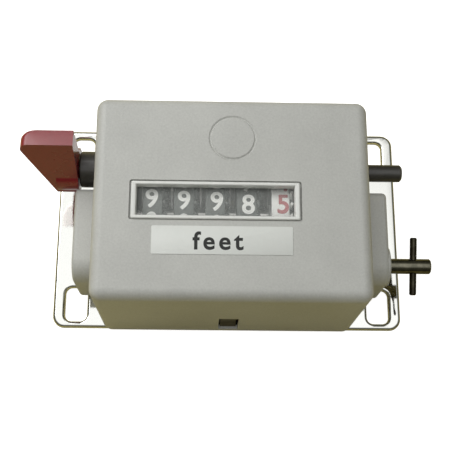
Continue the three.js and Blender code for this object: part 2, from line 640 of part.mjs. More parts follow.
const coilSteps = SPRING.turns * SPRING.steps;
const coil = Array.from({ length: coilSteps + 1 }, (_, i) => {
  const angle = (i / SPRING.steps) * 2 * Math.PI;
  const x = SPRING.x0 + ((SPRING.x1 - SPRING.x0) * i) / coilSteps;
  return new THREE.Vector3(
    x,
    RESET_AXIS.y + SPRING.coil * Math.cos(angle),
    RESET_AXIS.z + SPRING.coil * Math.sin(angle),
  );
});
const wireSection = Array.from({ length: SPRING.sides }, (_, i) => {
  const angle = (i / SPRING.sides) * 2 * Math.PI;
  return [SPRING.wire * Math.cos(angle), SPRING.wire * Math.sin(angle)];
});
add(
  "reset_spring",
  solidOf(
    new THREE.ExtrudeGeometry(outline(wireSection), {
      steps: coilSteps,
      bevelEnabled: false,
      extrudePath: new THREE.CatmullRomCurve3(coil),
    }),
  ),
  "steel",
);

export default group;
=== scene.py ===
"""Builds the finished look of a measuring wheel's distance counter round its CAD frame.

Sizes are millimetres where a piece is made. They are metres in the settings' lengths, in the
materials' bumps, in the figure wheels' node tree and for the lamps.
+Z is the way the figures face, +X the drive-shaft side and -Y the side nearest the reader.
"""

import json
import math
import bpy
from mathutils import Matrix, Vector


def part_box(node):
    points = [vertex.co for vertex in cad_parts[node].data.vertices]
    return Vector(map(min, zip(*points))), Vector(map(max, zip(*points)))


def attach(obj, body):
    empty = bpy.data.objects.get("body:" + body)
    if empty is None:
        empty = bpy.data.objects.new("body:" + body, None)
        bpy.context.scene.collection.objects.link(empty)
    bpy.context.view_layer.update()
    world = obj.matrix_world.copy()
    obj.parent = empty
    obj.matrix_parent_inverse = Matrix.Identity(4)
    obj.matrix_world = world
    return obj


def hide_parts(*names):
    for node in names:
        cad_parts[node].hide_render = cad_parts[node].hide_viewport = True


bl_info = {
    "name": "Measuring Wheel Counter",
    "version": (1, 0, 0),
    "blender": (4, 5, 0),
    "location": "3D View > Sidebar > Counter",
    "description": "Makes the finished pieces of a measuring wheel's distance counter",
    "category": "Object",
}

import bmesh
import bpy
from mathutils import Matrix, Vector

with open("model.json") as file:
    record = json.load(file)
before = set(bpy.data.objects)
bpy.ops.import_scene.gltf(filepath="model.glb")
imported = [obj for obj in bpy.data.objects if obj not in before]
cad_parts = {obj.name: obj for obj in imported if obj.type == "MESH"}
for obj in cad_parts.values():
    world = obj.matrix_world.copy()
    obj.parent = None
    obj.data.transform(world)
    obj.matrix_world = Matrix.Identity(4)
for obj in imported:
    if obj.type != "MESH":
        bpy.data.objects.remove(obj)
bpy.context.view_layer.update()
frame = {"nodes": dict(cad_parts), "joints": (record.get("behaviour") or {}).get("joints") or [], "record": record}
MM = 0.001
ROUND = 2 * math.pi


def span(node):
    """A CAD node's lowest and highest corners, in millimetres."""
    low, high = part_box(node)
    return Vector(low) / MM, Vector(high) / MM


def joint_axis(name):
    """The Y and Z of a joint's axis, in millimetres."""
    joint = next(j for j in frame["joints"] if j["name"] == name)
    return joint["pos_m"][1] / MM, joint["pos_m"][2] / MM


HOOD_LOW, HOOD_HIGH = span("hood")
BEZEL_LOW, BEZEL_HIGH = span("window_bezel")
PANE_LOW, PANE_HIGH = span("window_pane")
LABEL_LOW, LABEL_HIGH = span("unit_label")
SHAFT_LOW, SHAFT_HIGH = span("drive_shaft")
RESET_LOW, RESET_HIGH = span("reset_shaft")
HUB_LOW, HUB_HIGH = span("reset_hub")
LEVER_LOW = span("reset_lever")[0]
DRIVE_Y, DRIVE_Z = joint_axis("drive_spin")
RESET_Y, RESET_Z = joint_axis("reset_lever_turn")
WHEEL_Y, WHEEL_Z = joint_axis("wheel_units_spin")
PLATE_THICK = 1.6
HOOD_WALL = 1.2
RESET_BORE = 2.38
PLACES = ("units", "tens", "hundreds", "thousands", "ten_thousands")


# ---------------------------------------------------------------- settings

def measure(name, description, default, unit="LENGTH"):
    return bpy.props.FloatProperty(
        name=name, description=description, default=default, unit=unit
    )


def colour(name, description, default):
    return bpy.props.FloatVectorProperty(
        name=name, description=description, default=default, subtype="COLOR", size=3, min=0, max=1
    )


class CounterHoodSettings(bpy.types.PropertyGroup):
    corner: measure("Corner radius", "Rounding of the hood's pressed corners", 0.0028)
    wall: measure("Wall", "Thickness of the hood's sheet", HOOD_WALL * MM)
    mark_radius: measure("Mark radius", "Radius of the ring pressed into the face", 0.0056)
    enamel: colour("Enamel", "Colour of the grey enamel", (0.5, 0.505, 0.48))


class CounterPlateSettings(bpy.types.PropertyGroup):
    slot_wide: measure("Slot width", "Width of a mounting slot", 0.006)
    slot_long: measure("Slot length", "Length of a mounting slot", 0.0094)
    corner: measure("Corner radius", "Rounding of the plate's corners", 0.0032)
    zinc: colour("Zinc", "Colour of the bright zinc", (0.66, 0.665, 0.635))


class CounterFigureSettings(bpy.types.PropertyGroup):
    figure_high: measure("Figure height", "Height of a figure on its wheel", 0.0048)
    figure_wide: measure("Figure width", "Width of a figure on its wheel", 0.00292)
    wheel_black: colour(
        "Black wheels", "Colour of the wheels above the units", (0.085, 0.095, 0.088)
    )
    wheel_white: colour("White wheel", "Colour of the units wheel", (0.85, 0.85, 0.82))
    unit_red: colour("Red figures", "Colour of the units wheel's figures", (0.42, 0.1, 0.11))


class CounterLabelSettings(bpy.types.PropertyGroup):
    word: bpy.props.StringProperty(
        name="Unit", description="The unit printed on the label", default="feet"
    )
    film: colour("Film", "Colour of the label's film", (0.71, 0.73, 0.7))


class CounterResetSettings(bpy.types.PropertyGroup):
    lean: bpy.props.FloatProperty(
        name="Lean", description="How far the lever leans back at rest",
        default=math.radians(7), subtype="ANGLE",
    )
    red: colour("Lever red", "Colour of the lever's moulding", (0.23, 0.012, 0.018))


class CounterStageSettings(bpy.types.PropertyGroup):
    key_watts: measure("Key light", "Power of the square lamp on the lever's side", 0.46, "POWER")
    strip_watts: measure("Strip light", "Power of the long lamp behind", 0.13, "POWER")
    sky: measure("Sky", "Brightness of the studio's ceiling", 1.5, "NONE")
    focal: measure("Focal length", "Focal length of the camera's lens", 0.0751)


SETTINGS = {
    "counter_hood": CounterHoodSettings,
    "counter_plate": CounterPlateSettings,
    "counter_figures": CounterFigureSettings,
    "counter_label": CounterLabelSettings,
    "counter_reset": CounterResetSettings,
    "counter_stage": CounterStageSettings,
}


# ---------------------------------------------------------------- shader groups

def new_group(name, inputs, outputs):
    """An empty shader group with its named sockets, and its input and output nodes."""
    group = bpy.data.node_groups.new(name, "ShaderNodeTree")
    for label, kind, value in inputs:
        socket = group.interface.new_socket(name=label, in_out="INPUT", socket_type=kind)
        if value is not None:
            socket.default_value = value
    for label, kind in outputs:
        group.interface.new_socket(name=label, in_out="OUTPUT", socket_type=kind)
    return group, group.nodes.new("NodeGroupInput"), group.nodes.new("NodeGroupOutput")


def noise(tree, vector, scale, detail=4.0, rough=0.55):
    node = tree.nodes.new("ShaderNodeTexNoise")
    node.inputs["Detail"].default_value = detail
    node.inputs["Roughness"].default_value = rough
    tree.links.new(vector, node.inputs["Vector"])
    if isinstance(scale, (int, float)):
        node.inputs["Scale"].default_value = scale
    else:
        tree.links.new(scale, node.inputs["Scale"])
    return node.outputs["Fac"]


def ranged(tree, value, low, high, to_low, to_high):
    node = tree.nodes.new("ShaderNodeMapRange")
    tree.links.new(value, node.inputs["Value"])
    limits = {"From Min": low, "From Max": high, "To Min": to_low, "To Max": to_high}
    for label, number in limits.items():
        node.inputs[label].default_value = number
    return node.outputs["Result"]


def math_node(tree, operation, first, second):
    node = tree.nodes.new("ShaderNodeMath")
    node.operation = operation
    for place, value in enumerate((first, second)):
        if isinstance(value, (int, float)):
            node.inputs[place].default_value = value
        else:
            tree.links.new(value, node.inputs[place])
    return node.outputs[0]


def mixed(tree, mask, first, second):
    """A colour mixed by a mask. Each colour is a socket or a constant."""
    node = tree.nodes.new("ShaderNodeMix")
    node.data_type = "RGBA"
    tree.links.new(mask, node.inputs["Factor"])
    for label, value in (("A", first), ("B", second)):
        socket = next(s for s in node.inputs if s.name == label and s.type == "RGBA")
        if isinstance(value, (tuple, list)):
            socket.default_value = (*value[:3], 1)
        else:
            tree.links.new(value, socket)
    return next(s for s in node.outputs if s.type == "RGBA")


def grain_group():
    """Fine grain and slow mottling: a mask for colour, one for gloss, and a height for bump."""
    group, source, sink = new_group(
        "surface_grain",
        [("Vector", "NodeSocketVector", None), ("Grain Scale", "NodeSocketFloat", 2500.0),
         ("Mottle Scale", "NodeSocketFloat", 60.0)],
        [("Colour Mask", "NodeSocketFloat"), ("Gloss Mask", "NodeSocketFloat"),
         ("Height", "NodeSocketFloat")],
    )
    vector = source.outputs["Vector"]
    fine = noise(group, vector, source.outputs["Grain Scale"], 3)
    slow = noise(group, vector, source.outputs["Mottle Scale"], 5, 0.6)
    fine_part = math_node(group, "MULTIPLY", fine, 0.45)
    total = math_node(group, "ADD", fine_part, math_node(group, "MULTIPLY", slow, 0.55))
    group.links.new(ranged(group, total, 0.3, 0.7, 0, 1), sink.inputs["Colour Mask"])
    group.links.new(ranged(group, slow, 0.35, 0.65, 0, 1), sink.inputs["Gloss Mask"])
    group.links.new(fine, sink.inputs["Height"])
    return group


def turning_group():
    """Lathe marks: fine rings along X, uneven in depth."""
    group, source, sink = new_group(
        "turning_marks",
        [("Vector", "NodeSocketVector", None), ("Rings", "NodeSocketFloat", 4000.0)],
        [("Mask", "NodeSocketFloat"), ("Height", "NodeSocketFloat")],
    )
    stretch = group.nodes.new("ShaderNodeVectorMath")
    stretch.operation = "MULTIPLY"
    stretch.inputs[1].default_value = (1, 0.04, 0.04)
    group.links.new(source.outputs["Vector"], stretch.inputs[0])
    rings = noise(group, stretch.outputs[0], source.outputs["Rings"], 2)
    patches = noise(group, source.outputs["Vector"], 350, 4)
    group.links.new(ranged(group, patches, 0.4, 0.62, 0, 1), sink.inputs["Mask"])
    group.links.new(rings, sink.inputs["Height"])
    return group


def dust_group():
    """Soft specks of dust and handling marks that gather in patches."""
    group, source, sink = new_group(
        "dust_specks",
        [("Vector", "NodeSocketVector", None), ("Scale", "NodeSocketFloat", 700.0)],
        [("Mask", "NodeSocketFloat")],
    )
    specks = noise(group, source.outputs["Vector"], source.outputs["Scale"], 2)
    patches = noise(group, source.outputs["Vector"], 45, 3)
    spotted = ranged(group, specks, 0.62, 0.74, 0, 1)
    group.links.new(math_node(group, "MULTIPLY", spotted, patches), sink.inputs["Mask"])
    return group


GROUP_MAKERS = {
    "surface_grain": grain_group,
    "turning_marks": turning_group,
    "dust_specks": dust_group,
}


def shared(name):
    return bpy.data.node_groups.get(name) or GROUP_MAKERS[name]()


def placed(tree, name, vector, **values):
    """A shared group placed in a material, with its own values."""
    node = tree.nodes.new("ShaderNodeGroup")
    node.node_tree = shared(name)
    tree.links.new(vector, node.inputs["Vector"])
    for label, value in values.items():
        node.inputs[label.replace("_", " ").title()].default_value = value
    return node


# ---------------------------------------------------------------- materials

FINISH_NAME = "{}_finish"
DUST = (0.62, 0.61, 0.57)


def blank_material(name):
    material = bpy.data.materials.new(FINISH_NAME.format(name))
    material.use_nodes = True
    tree = material.node_tree
    shader = tree.nodes["Principled BSDF"]
    place = tree.nodes.new("ShaderNodeTexCoord").outputs["Object"]
    return material, tree, shader, place


def bumped(tree, shader, height, strength, distance):
    bump = tree.nodes.new("ShaderNodeBump")
    bump.inputs["Strength"].default_value = strength
    bump.inputs["Distance"].default_value = distance
    tree.links.new(height, bump.inputs["Height"])
    tree.links.new(bump.outputs["Normal"], shader.inputs["Normal"])


def scaled(rgb, factor):
    return tuple(min(1.0, channel * factor) for channel in rgb)


def grained(name, base, rough, contrast=0.06, grain=2500.0, mottle=60.0, bump=0.12,
            metal=0.0, coat=0.0, dusty=0.0):
    """A moulded, enamelled or plated finish, mottled, with fine grain and a little dust."""
    material, tree, shader, place = blank_material(name)
    marks = placed(tree, "surface_grain", place, grain_scale=grain, mottle_scale=mottle)
    dark, light = scaled(base, 1 - contrast), scaled(base, 1 + contrast)
    tone = mixed(tree, marks.outputs["Colour Mask"], dark, light)
    if dusty:
        dust = placed(tree, "dust_specks", place)
        faint = math_node(tree, "MULTIPLY", dust.outputs["Mask"], dusty)
        tone = mixed(tree, faint, tone, DUST)
    tree.links.new(tone, shader.inputs["Base Color"])
    gloss = ranged(tree, marks.outputs["Gloss Mask"], 0, 1, rough * 0.86, min(1.0, rough * 1.14))
    tree.links.new(gloss, shader.inputs["Roughness"])
    shader.inputs["Metallic"].default_value = metal
    shader.inputs["Coat Weight"].default_value = coat
    shader.inputs["Coat Roughness"].default_value = 0.08
    bumped(tree, shader, marks.outputs["Height"], bump, 0.00008)
    return material


def turned_metal(name, base, rough, worn):
    """Turned steel or bronze: lathe rings, and patches where the finish has worn."""
    material, tree, shader, place = blank_material(name)
    marks = placed(tree, "turning_marks", place)
    tree.links.new(mixed(tree, marks.outputs["Mask"], base, worn), shader.inputs["Base Color"])
    gloss = ranged(tree, marks.outputs["Mask"], 0, 1, rough, rough * 0.8)
    tree.links.new(gloss, shader.inputs["Roughness"])
    shader.inputs["Metallic"].default_value = 1
    bumped(tree, shader, marks.outputs["Height"], 0.22, 0.00005)
    return material


def pane_material():
    """Clear pane with a faint haze and scattered specks."""
    material, tree, shader, place = blank_material("clear_pane")
    dust = placed(tree, "dust_specks", place, scale=900.0)
    shader.inputs["Base Color"].default_value = (0.86, 0.9, 0.87, 1)
    haze = ranged(tree, dust.outputs["Mask"], 0, 1, 0.1, 0.22)
    tree.links.new(haze, shader.inputs["Alpha"])
    shader.inputs["Roughness"].default_value = 0.12
    return material


def settings(name):
    return getattr(bpy.context.scene, name)


def chosen(group, field):
    """A colour that a user can change, read when its finish is made."""
    return lambda: getattr(settings(group), field)


# Each grained finish: its base colour, its roughness and what else it is given.
GRAINED = {
    "zinc_plate": (
        chosen("counter_plate", "zinc"), 0.075,
        {"contrast": 0.03, "grain": 1500, "mottle": 40, "bump": 0.05, "metal": 1.0},
    ),
    "grey_enamel": (
        chosen("counter_hood", "enamel"), 0.5,
        {"contrast": 0.13, "grain": 1900, "mottle": 55, "bump": 0.6, "dusty": 0.18},
    ),
    "black_oxide": (
        (0.042, 0.039, 0.034), 0.42,
        {"contrast": 0.3, "grain": 1400, "mottle": 90, "bump": 0.3, "coat": 0.2},
    ),
    "red_plastic": (
        chosen("counter_reset", "red"), 0.3,
        {"contrast": 0.12, "grain": 1200, "mottle": 70, "coat": 0.35},
    ),
    "nylon": ((0.7, 0.66, 0.55), 0.55, {"contrast": 0.05}),
    "bezel_white": (
        (0.76, 0.77, 0.74), 0.28,
        {"contrast": 0.03, "grain": 1200, "mottle": 80, "bump": 0.06, "coat": 0.3},
    ),
    "label_film": (
        chosen("counter_label", "film"), 0.5,
        {"contrast": 0.03, "grain": 900, "mottle": 120, "bump": 0.08},
    ),
    "label_ink": ((0.01, 0.012, 0.01), 0.6, {"contrast": 0.2}),
    "figure_black": (chosen("counter_figures", "wheel_black"), 0.5, {"contrast": 0.15}),
    "figure_white": (chosen("counter_figures", "wheel_white"), 0.45, {"contrast": 0.03}),
    "figure_paint": ((0.9, 0.9, 0.87), 0.5, {"contrast": 0.03}),
    "figure_red": (chosen("counter_figures", "unit_red"), 0.5, {"contrast": 0.08}),
}

# Each turned metal: its base colour, its roughness and its colour where it is worn.
TURNED = {
    "bright_steel": ((0.55, 0.54, 0.51), 0.34, (0.66, 0.65, 0.62)),
    "drive_steel": ((0.095, 0.092, 0.068), 0.22, (0.17, 0.16, 0.12)),
    "pin_steel": ((0.04, 0.035, 0.025), 0.34, (0.065, 0.06, 0.042)),
    "bronze": ((0.5, 0.34, 0.16), 0.42, (0.6, 0.44, 0.24)),
}


def finish(name):
    """The finish of that name, made when first asked for, beside the frame's own plain one."""
    ready = bpy.data.materials.get(FINISH_NAME.format(name))
    if ready:
        return ready
    if name == "clear_pane":
        return pane_material()
    if name in TURNED:
        return turned_metal(name, *TURNED[name])
    base, rough, details = GRAINED[name]
    return grained(name, base() if callable(base) else base, rough, **details)


# ---------------------------------------------------------------- making pieces

def new_piece(name, bm, materials, sharp=35):
    """An object from a bmesh in millimetres, faces outward, smooth between sharp edges."""
    bmesh.ops.remove_doubles(bm, verts=bm.verts, dist=1e-4)
    bmesh.ops.recalc_face_normals(bm, faces=bm.faces)
    bmesh.ops.transform(bm, matrix=Matrix.Scale(MM, 4), verts=bm.verts)
    mesh = bpy.data.meshes.new(name)
    bm.to_mesh(mesh)
    bm.free()
    mesh.shade_smooth()
    mesh.set_sharp_from_angle(angle=math.radians(sharp))
    for material in materials:
        mesh.materials.append(finish(material))
    piece = bpy.data.objects.new(name, mesh)
    bpy.context.scene.collection.objects.link(piece)
    return piece


def bake_modifiers(piece):
    graph = bpy.context.evaluated_depsgraph_get()
    mesh = bpy.data.meshes.new_from_object(piece.evaluated_get(graph))
    mesh.name = piece.name
    piece.modifiers.clear()
    piece.data = mesh
    return mesh


def settle(piece, sharp=35):
    """Turns a piece and its modifiers into one plain mesh."""
    mesh = bake_modifiers(piece)
    mesh.shade_smooth()
    mesh.set_sharp_from_angle(angle=math.radians(sharp))
    return piece


def flatten_faces(piece):
    """Keeps broad flat faces flat in the light, so that only the roundings between them curve."""
    step = piece.modifiers.new("flatten", "WEIGHTED_NORMAL")
    step.keep_sharp = True
    step.weight = 100
    bake_modifiers(piece)
    return piece


def combine(piece, others, operation):
    """Cuts other pieces out of a piece, or joins them to it."""
    for other in others:
        step = piece.modifiers.new("combine", "BOOLEAN")
        step.operation = operation
        step.solver = "EXACT"
        step.material_mode = "TRANSFER" if operation == "UNION" else "INDEX"
        step.object = other
    settle(piece)
    for other in others:
        bpy.data.objects.remove(other)
    return piece


def soften(piece, width, segments=3, angle=50, sharp=35):
    """Rounds a piece's sharp edges."""
    step = piece.modifiers.new("soften", "BEVEL")
    step.width = width * MM
    step.segments = segments
    step.limit_method = "ANGLE"
    step.angle_limit = math.radians(angle)
    return settle(piece, sharp)


def hand_over(piece, body, slot, *nodes):
    """Hangs a finished piece on the body that it rides on and hides the nodes that it stands for. The slot is not
    used.
    """
    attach(piece, body)
    if nodes:
        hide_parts(*nodes)
    return piece


def skin(bm, loops, closed=False):
    """Joins loops of points into a tube, capped at both ends unless it closes on itself."""
    rings = [[bm.verts.new(point) for point in loop] for loop in loops]
    pairs = zip(rings, rings[1:] + rings[:1]) if closed else zip(rings, rings[1:])
    for first, second in pairs:
        for i in range(len(first)):
            j = (i + 1) % len(first)
            bm.faces.new((first[i], first[j], second[j], second[i]))
    if not closed:
        bm.faces.new(rings[0][::-1])
        bm.faces.new(rings[-1])


def block(low, high, corner=0.0, segments=4, keep_bottom=True):
    """A box with its edges rounded, the bottom ones only where keep_bottom is off."""
    bm = bmesh.new()
    bmesh.ops.create_cube(bm, size=1)
    middle, size = (Vector(low) + Vector(high)) / 2, Vector(high) - Vector(low)
    for vert in bm.verts:
        vert.co = Vector(vert.co[i] * size[i] + middle[i] for i in range(3))
    if corner:
        floor = low[2] + 1e-6
        edges = [
            edge for edge in bm.edges
            if not (keep_bottom and all(vert.co.z < floor for vert in edge.verts))
        ]
        bmesh.ops.bevel(
            bm, geom=edges, offset=corner, segments=segments, profile=0.5, affect="EDGES"
        )
    return bm


def rounded(x0, x1, y0, y1, corner, steps=6):
    """A rectangle with rounded corners, anticlockwise."""
    corners = [(x1 - corner, y0 + corner, -90), (x1 - corner, y1 - corner, 0),
               (x0 + corner, y1 - corner, 90), (x0 + corner, y0 + corner, 180)]
    return [
        (cx + corner * math.cos(math.radians(start + 90 * i / steps)),
         cy + corner * math.sin(math.radians(start + 90 * i / steps)))
        for cx, cy, start in corners
        for i in range(steps + 1)
    ]


def frame_sweep(bm, x0, x1, y0, y1, corner, section, slim=1.0):
    """Sweeps a section of (inset, height) points round a rounded rectangle.

    The section is slim times as deep along the rectangle's long sides.
    """
    loops = []
    for inset, height in section:
        r = max(corner - inset, 0.08)
        outline = rounded(x0 + inset, x1 - inset, y0 + inset * slim, y1 - inset * slim, r)
        loops.append([(x, y, height) for x, y in outline])
    skin(bm, loops, closed=True)


def circle(u, v, radius, segments):
    """Points round a circle, anticlockwise from its first axis."""
    turns = [ROUND * i / segments for i in range(segments)]
    return [(u + radius * math.cos(turn), v + radius * math.sin(turn)) for turn in turns]


def turned(bm, steps, y, z, segments=64, closed=False):
    """A turned piece along X, from (x, radius) steps, solid or closed on itself as a tube."""
    skin(bm, [
        [(x, cy, cz) for cy, cz in circle(y, z, radius, segments)] for x, radius in steps
    ], closed)


def turned_up(bm, steps, x, y, segments=48, closed=False):
    """A turned piece along Z, from (z, radius) steps, solid or closed on itself as a tube."""
    skin(bm, [
        [(cx, cy, z) for cx, cy in circle(x, y, radius, segments)] for z, radius in steps
    ], closed)


def prism(bm, outline, x0, x1):
    """A Y-Z outline run along X."""
    skin(bm, [[(x, y, z) for y, z in outline] for x in (x0, x1)])


def arc(y, z, radius, start, end, steps):
    """Points along an arc in the Y-Z plane, in degrees from +Y towards +Z."""
    angles = [math.radians(start + (end - start) * i / steps) for i in range(steps + 1)]
    return [(y + radius * math.cos(a), z + radius * math.sin(a)) for a in angles]


# ---------------------------------------------------------------- base plate

PLATE_X = 47.75
PLATE_Y = 28.8
TOP_EASING = 0.85
UNDER_EASING = 0.2
SLOT_X = 41.5
SLOT_Y = 22.05
SLOT_SHIFT = -0.3
SLOT_CORNER = 1.8
SCREW_X = 26
SCREW_YS = (-11, 9)
SCREW_HOLE = 1.55
SCREW_DEEP = 4.7
# A hole countersunk from the underside: its heights and radii.
COUNTERSINK = ((-0.15, 3.1), (1.4, SCREW_HOLE), (2.6, SCREW_HOLE))
CATCH_GAP = 0.25
CATCH_HALF = 2.1
# A catch's section: how far each point stands out from its outer face, and its height.
CATCH_SECTION = (
    (-1, PLATE_THICK - 0.4), (0, PLATE_THICK - 0.4), (0, 4.3), (0.85, 4.4), (0.85, 5.1),
    (0, 6.4), (0, 15.6), (-0.35, 16), (-1, 16),
)


def flat_with_holes(outlines):
    """A flat plate on the ground plane, from its edge's outline and then those of its holes."""
    bm = bmesh.new()
    for outline in outlines:
        ring = [bm.verts.new((x, y, 0)) for x, y in outline]
        for i, vert in enumerate(ring):
            bm.edges.new((vert, ring[(i + 1) % len(ring)]))
    bmesh.ops.triangle_fill(bm, use_beauty=True, use_dissolve=False, edges=bm.edges)
    raised = bmesh.ops.extrude_face_region(bm, geom=bm.faces[:])
    tops = [item for item in raised["geom"] if isinstance(item, bmesh.types.BMVert)]
    bmesh.ops.translate(bm, verts=tops, vec=(0, 0, PLATE_THICK))
    bmesh.ops.recalc_face_normals(bm, faces=bm.faces)
    for height, easing in ((PLATE_THICK, TOP_EASING), (0, UNDER_EASING)):
        rim = [
            edge for edge in bm.edges
            if all(abs(vert.co.z - height) < 1e-4 for vert in edge.verts)
            and edge.calc_face_angle(0) > 1
        ]
        bmesh.ops.bevel(bm, geom=rim, offset=easing, segments=4, profile=0.5, affect="EDGES")
    return bm


def catch(side):
    """A spring catch that stands inside the hood's wall, with a snap hook. Its black finish is painted shade for
    the dark notch that it stands in.
    """
    wall = (HOOD_LOW.y + HOOD_WALL) if side < 0 else (HOOD_HIGH.y - HOOD_WALL)
    outer = wall - side * CATCH_GAP
    profile = [(outer + side * out, z) for out, z in CATCH_SECTION]
    bm = bmesh.new()
    prism(bm, profile if side > 0 else profile[::-1], -CATCH_HALF, CATCH_HALF)
    return bm


class COUNTER_OT_base_plate(bpy.types.Operator):
    """Makes the bright zinc plate with its four slots and two hood catches"""

    bl_idname = "counter.base_plate"
    bl_label = "Base plate"

    def execute(self, context):
        plate = settings("counter_plate")
        wide, long = plate.slot_wide / MM / 2, plate.slot_long / MM / 2
        outlines = [rounded(-PLATE_X, PLATE_X, -PLATE_Y, PLATE_Y, plate.corner / MM, steps=8)]
        for side in (-1, 1):
            for end in (-1, 1):
                x, y = side * SLOT_X, end * SLOT_Y + SLOT_SHIFT
                outlines.append(rounded(x - wide, x + wide, y - long, y + long, SLOT_CORNER))
        piece = new_piece("zinc_base", flat_with_holes(outlines), ["zinc_plate"])
        cones = []
        for x in (-SCREW_X, SCREW_X):
            for y in SCREW_YS:
                cone = bmesh.new()
                turned_up(cone, COUNTERSINK, x, y)
                cones.append(new_piece("countersink", cone, []))
        combine(piece, cones, "DIFFERENCE")
        # The catches take the black finish as painted shade in the hood's dark notches.
        catches = [new_piece(f"catch_{side}", catch(side), ["black_oxide"]) for side in (-1, 1)]
        combine(piece, catches, "UNION")
        hand_over(flatten_faces(piece), "frame", "zinc_plate", "base_plate")
        return {"FINISHED"}


# ---------------------------------------------------------------- hood

BOSS_TOP = 21.6
BOSS_FAR = 4.3
BOSS_ROUND = 1.6
BOSS_NOSE = 5.6
BOSS_GAP = 0.3
RESET_GAP = 3.1
NOTCH_HALF = 2.6
NOTCH_LOW = 3.9
NOTCH_HIGH = 17
MARK_X = 0.1
MARK_Y = 11.6
MARK_HALF = 0.4
MARK_DEEP = 0.34
HOOD_EASING = 0.16
# The seat and then the hole of the window: each one's margin round the bezel, its margin on the
# near side, how deep it goes and its corner radius.
WINDOW_CUTS = ((0.42, 0.12, 0.9, 0.6), (-0.8, -0.8, 6, 0.6))


def boss_outline(grow, foot):
    """The side boss from its flat top round the shaft's nose to the plate."""
    far_round = arc(
        BOSS_FAR + grow - BOSS_ROUND, BOSS_TOP + grow - BOSS_ROUND, BOSS_ROUND, 0, 90, 6
    )
    nose = arc(DRIVE_Y, DRIVE_Z, BOSS_NOSE + grow, 90, 180, 14)
    return far_round + nose + [(DRIVE_Y - BOSS_NOSE - grow, foot), (BOSS_FAR + grow, foot)]


class COUNTER_OT_hood(bpy.types.Operator):
    """Makes the grey enamelled hood with its window, mark, notches and side openings"""

    bl_idname = "counter.hood"
    bl_label = "Hood"

    def execute(self, context):
        hood = settings("counter_hood")
        corner, wall = hood.corner / MM, hood.wall / MM
        piece = new_piece("hood_shell", block(HOOD_LOW, HOOD_HIGH, corner, 10), ["grey_enamel"])
        inner_low = HOOD_LOW + Vector((wall, wall, -10))
        inner_high = HOOD_HIGH - Vector((wall, wall, wall))
        cutters = [new_piece("hollow", block(inner_low, inner_high, corner - wall, 5), [])]
        for side in (-1, 1):
            x0, x1 = sorted((side * (HOOD_HIGH.x - 2), side * (HOOD_HIGH.x + 2)))
            opening = bmesh.new()
            prism(opening, boss_outline(BOSS_GAP, 0), x0, x1)
            cutters.append(new_piece("boss_opening", opening, []))
            slot = bmesh.new()
            over = arc(RESET_Y, RESET_Z, RESET_GAP, 0, 180, 20)
            prism(slot, over + [(RESET_Y - RESET_GAP, 0), (RESET_Y + RESET_GAP, 0)], x0, x1)
            cutters.append(new_piece("shaft_opening", slot, []))
        for y in (HOOD_LOW.y, HOOD_HIGH.y):
            notch = block((-NOTCH_HALF, y - 2, NOTCH_LOW), (NOTCH_HALF, y + 2, NOTCH_HIGH))
            cutters.append(new_piece("notch", notch, []))
        middle = (BEZEL_LOW + BEZEL_HIGH) / 2
        half = (BEZEL_HIGH - BEZEL_LOW) / 2
        for margin, near_margin, depth, corner_radius in WINDOW_CUTS:
            outline = rounded(
                middle.x - half.x - margin, middle.x + half.x + margin,
                middle.y - half.y - near_margin, middle.y + half.y + margin, corner_radius,
            )
            seat = bmesh.new()
            skin(seat, [
                [(x, y, z) for x, y in outline] for z in (HOOD_HIGH.z - depth, HOOD_HIGH.z + 2)
            ])
            cutters.append(new_piece("window_seat", seat, []))
        groove = bmesh.new()
        radius, top = hood.mark_radius / MM, HOOD_HIGH.z
        turned_up(groove, [
            (top + 1, radius - MARK_HALF), (top, radius - MARK_HALF), (top - MARK_DEEP, radius),
            (top, radius + MARK_HALF), (top + 1, radius + MARK_HALF),
        ], MARK_X, MARK_Y, 72, closed=True)
        cutters.append(new_piece("ring_mark", groove, []))
        combine(piece, cutters, "DIFFERENCE")
        soften(piece, HOOD_EASING, segments=2, angle=55, sharp=30)
        hand_over(flatten_faces(piece), "frame", "grey_enamel", "hood")
        return {"FINISHED"}


# ---------------------------------------------------------------- window and label

BEZEL_CORNER = 0.5
BEZEL_FOOT = 0.35
# How deep the bezel's section is along its long sides, as a share of its depth at the ends.
BEZEL_SLIM = 0.74
LABEL_CORNER = 0.35
WORD_X = (-9.5, 2.7)
WORD_Y = (-17.3, -12.7)
WORD_SPACING = 1.28
INK_THICK = 0.018


class COUNTER_OT_window(bpy.types.Operator):
    """Makes the bevelled window bezel and the clear pane under it"""

    bl_idname = "counter.window"
    bl_label = "Window"

    def execute(self, context):
        top = BEZEL_HIGH.z
        low = BEZEL_LOW.z
        seat = HOOD_HIGH.z - BEZEL_FOOT
        section = [  # from the outer foot, over the top and down inside
            (0, seat), (0, top - 0.42), (0.1, top - 0.14), (0.34, top), (0.95, top),
            (1.16, top - 0.1), (1.34, top - 0.5), (1.42, top - 0.95), (1.42, low),
            (1.15, low), (1.1, seat),
        ]
        bm = bmesh.new()
        frame_sweep(
            bm, BEZEL_LOW.x, BEZEL_HIGH.x, BEZEL_LOW.y, BEZEL_HIGH.y,
            BEZEL_CORNER, section, BEZEL_SLIM,
        )
        bezel = new_piece("bezel", bm, ["bezel_white"], 25)
        hand_over(bezel, "frame", "bezel_white", "window_bezel")
        sheet = block(PANE_LOW, PANE_HIGH, 0.2, 3, keep_bottom=False)
        pane = new_piece("pane", sheet, ["clear_pane"])
        hand_over(pane, "frame", "clear_pane", "window_pane")
        return {"FINISHED"}


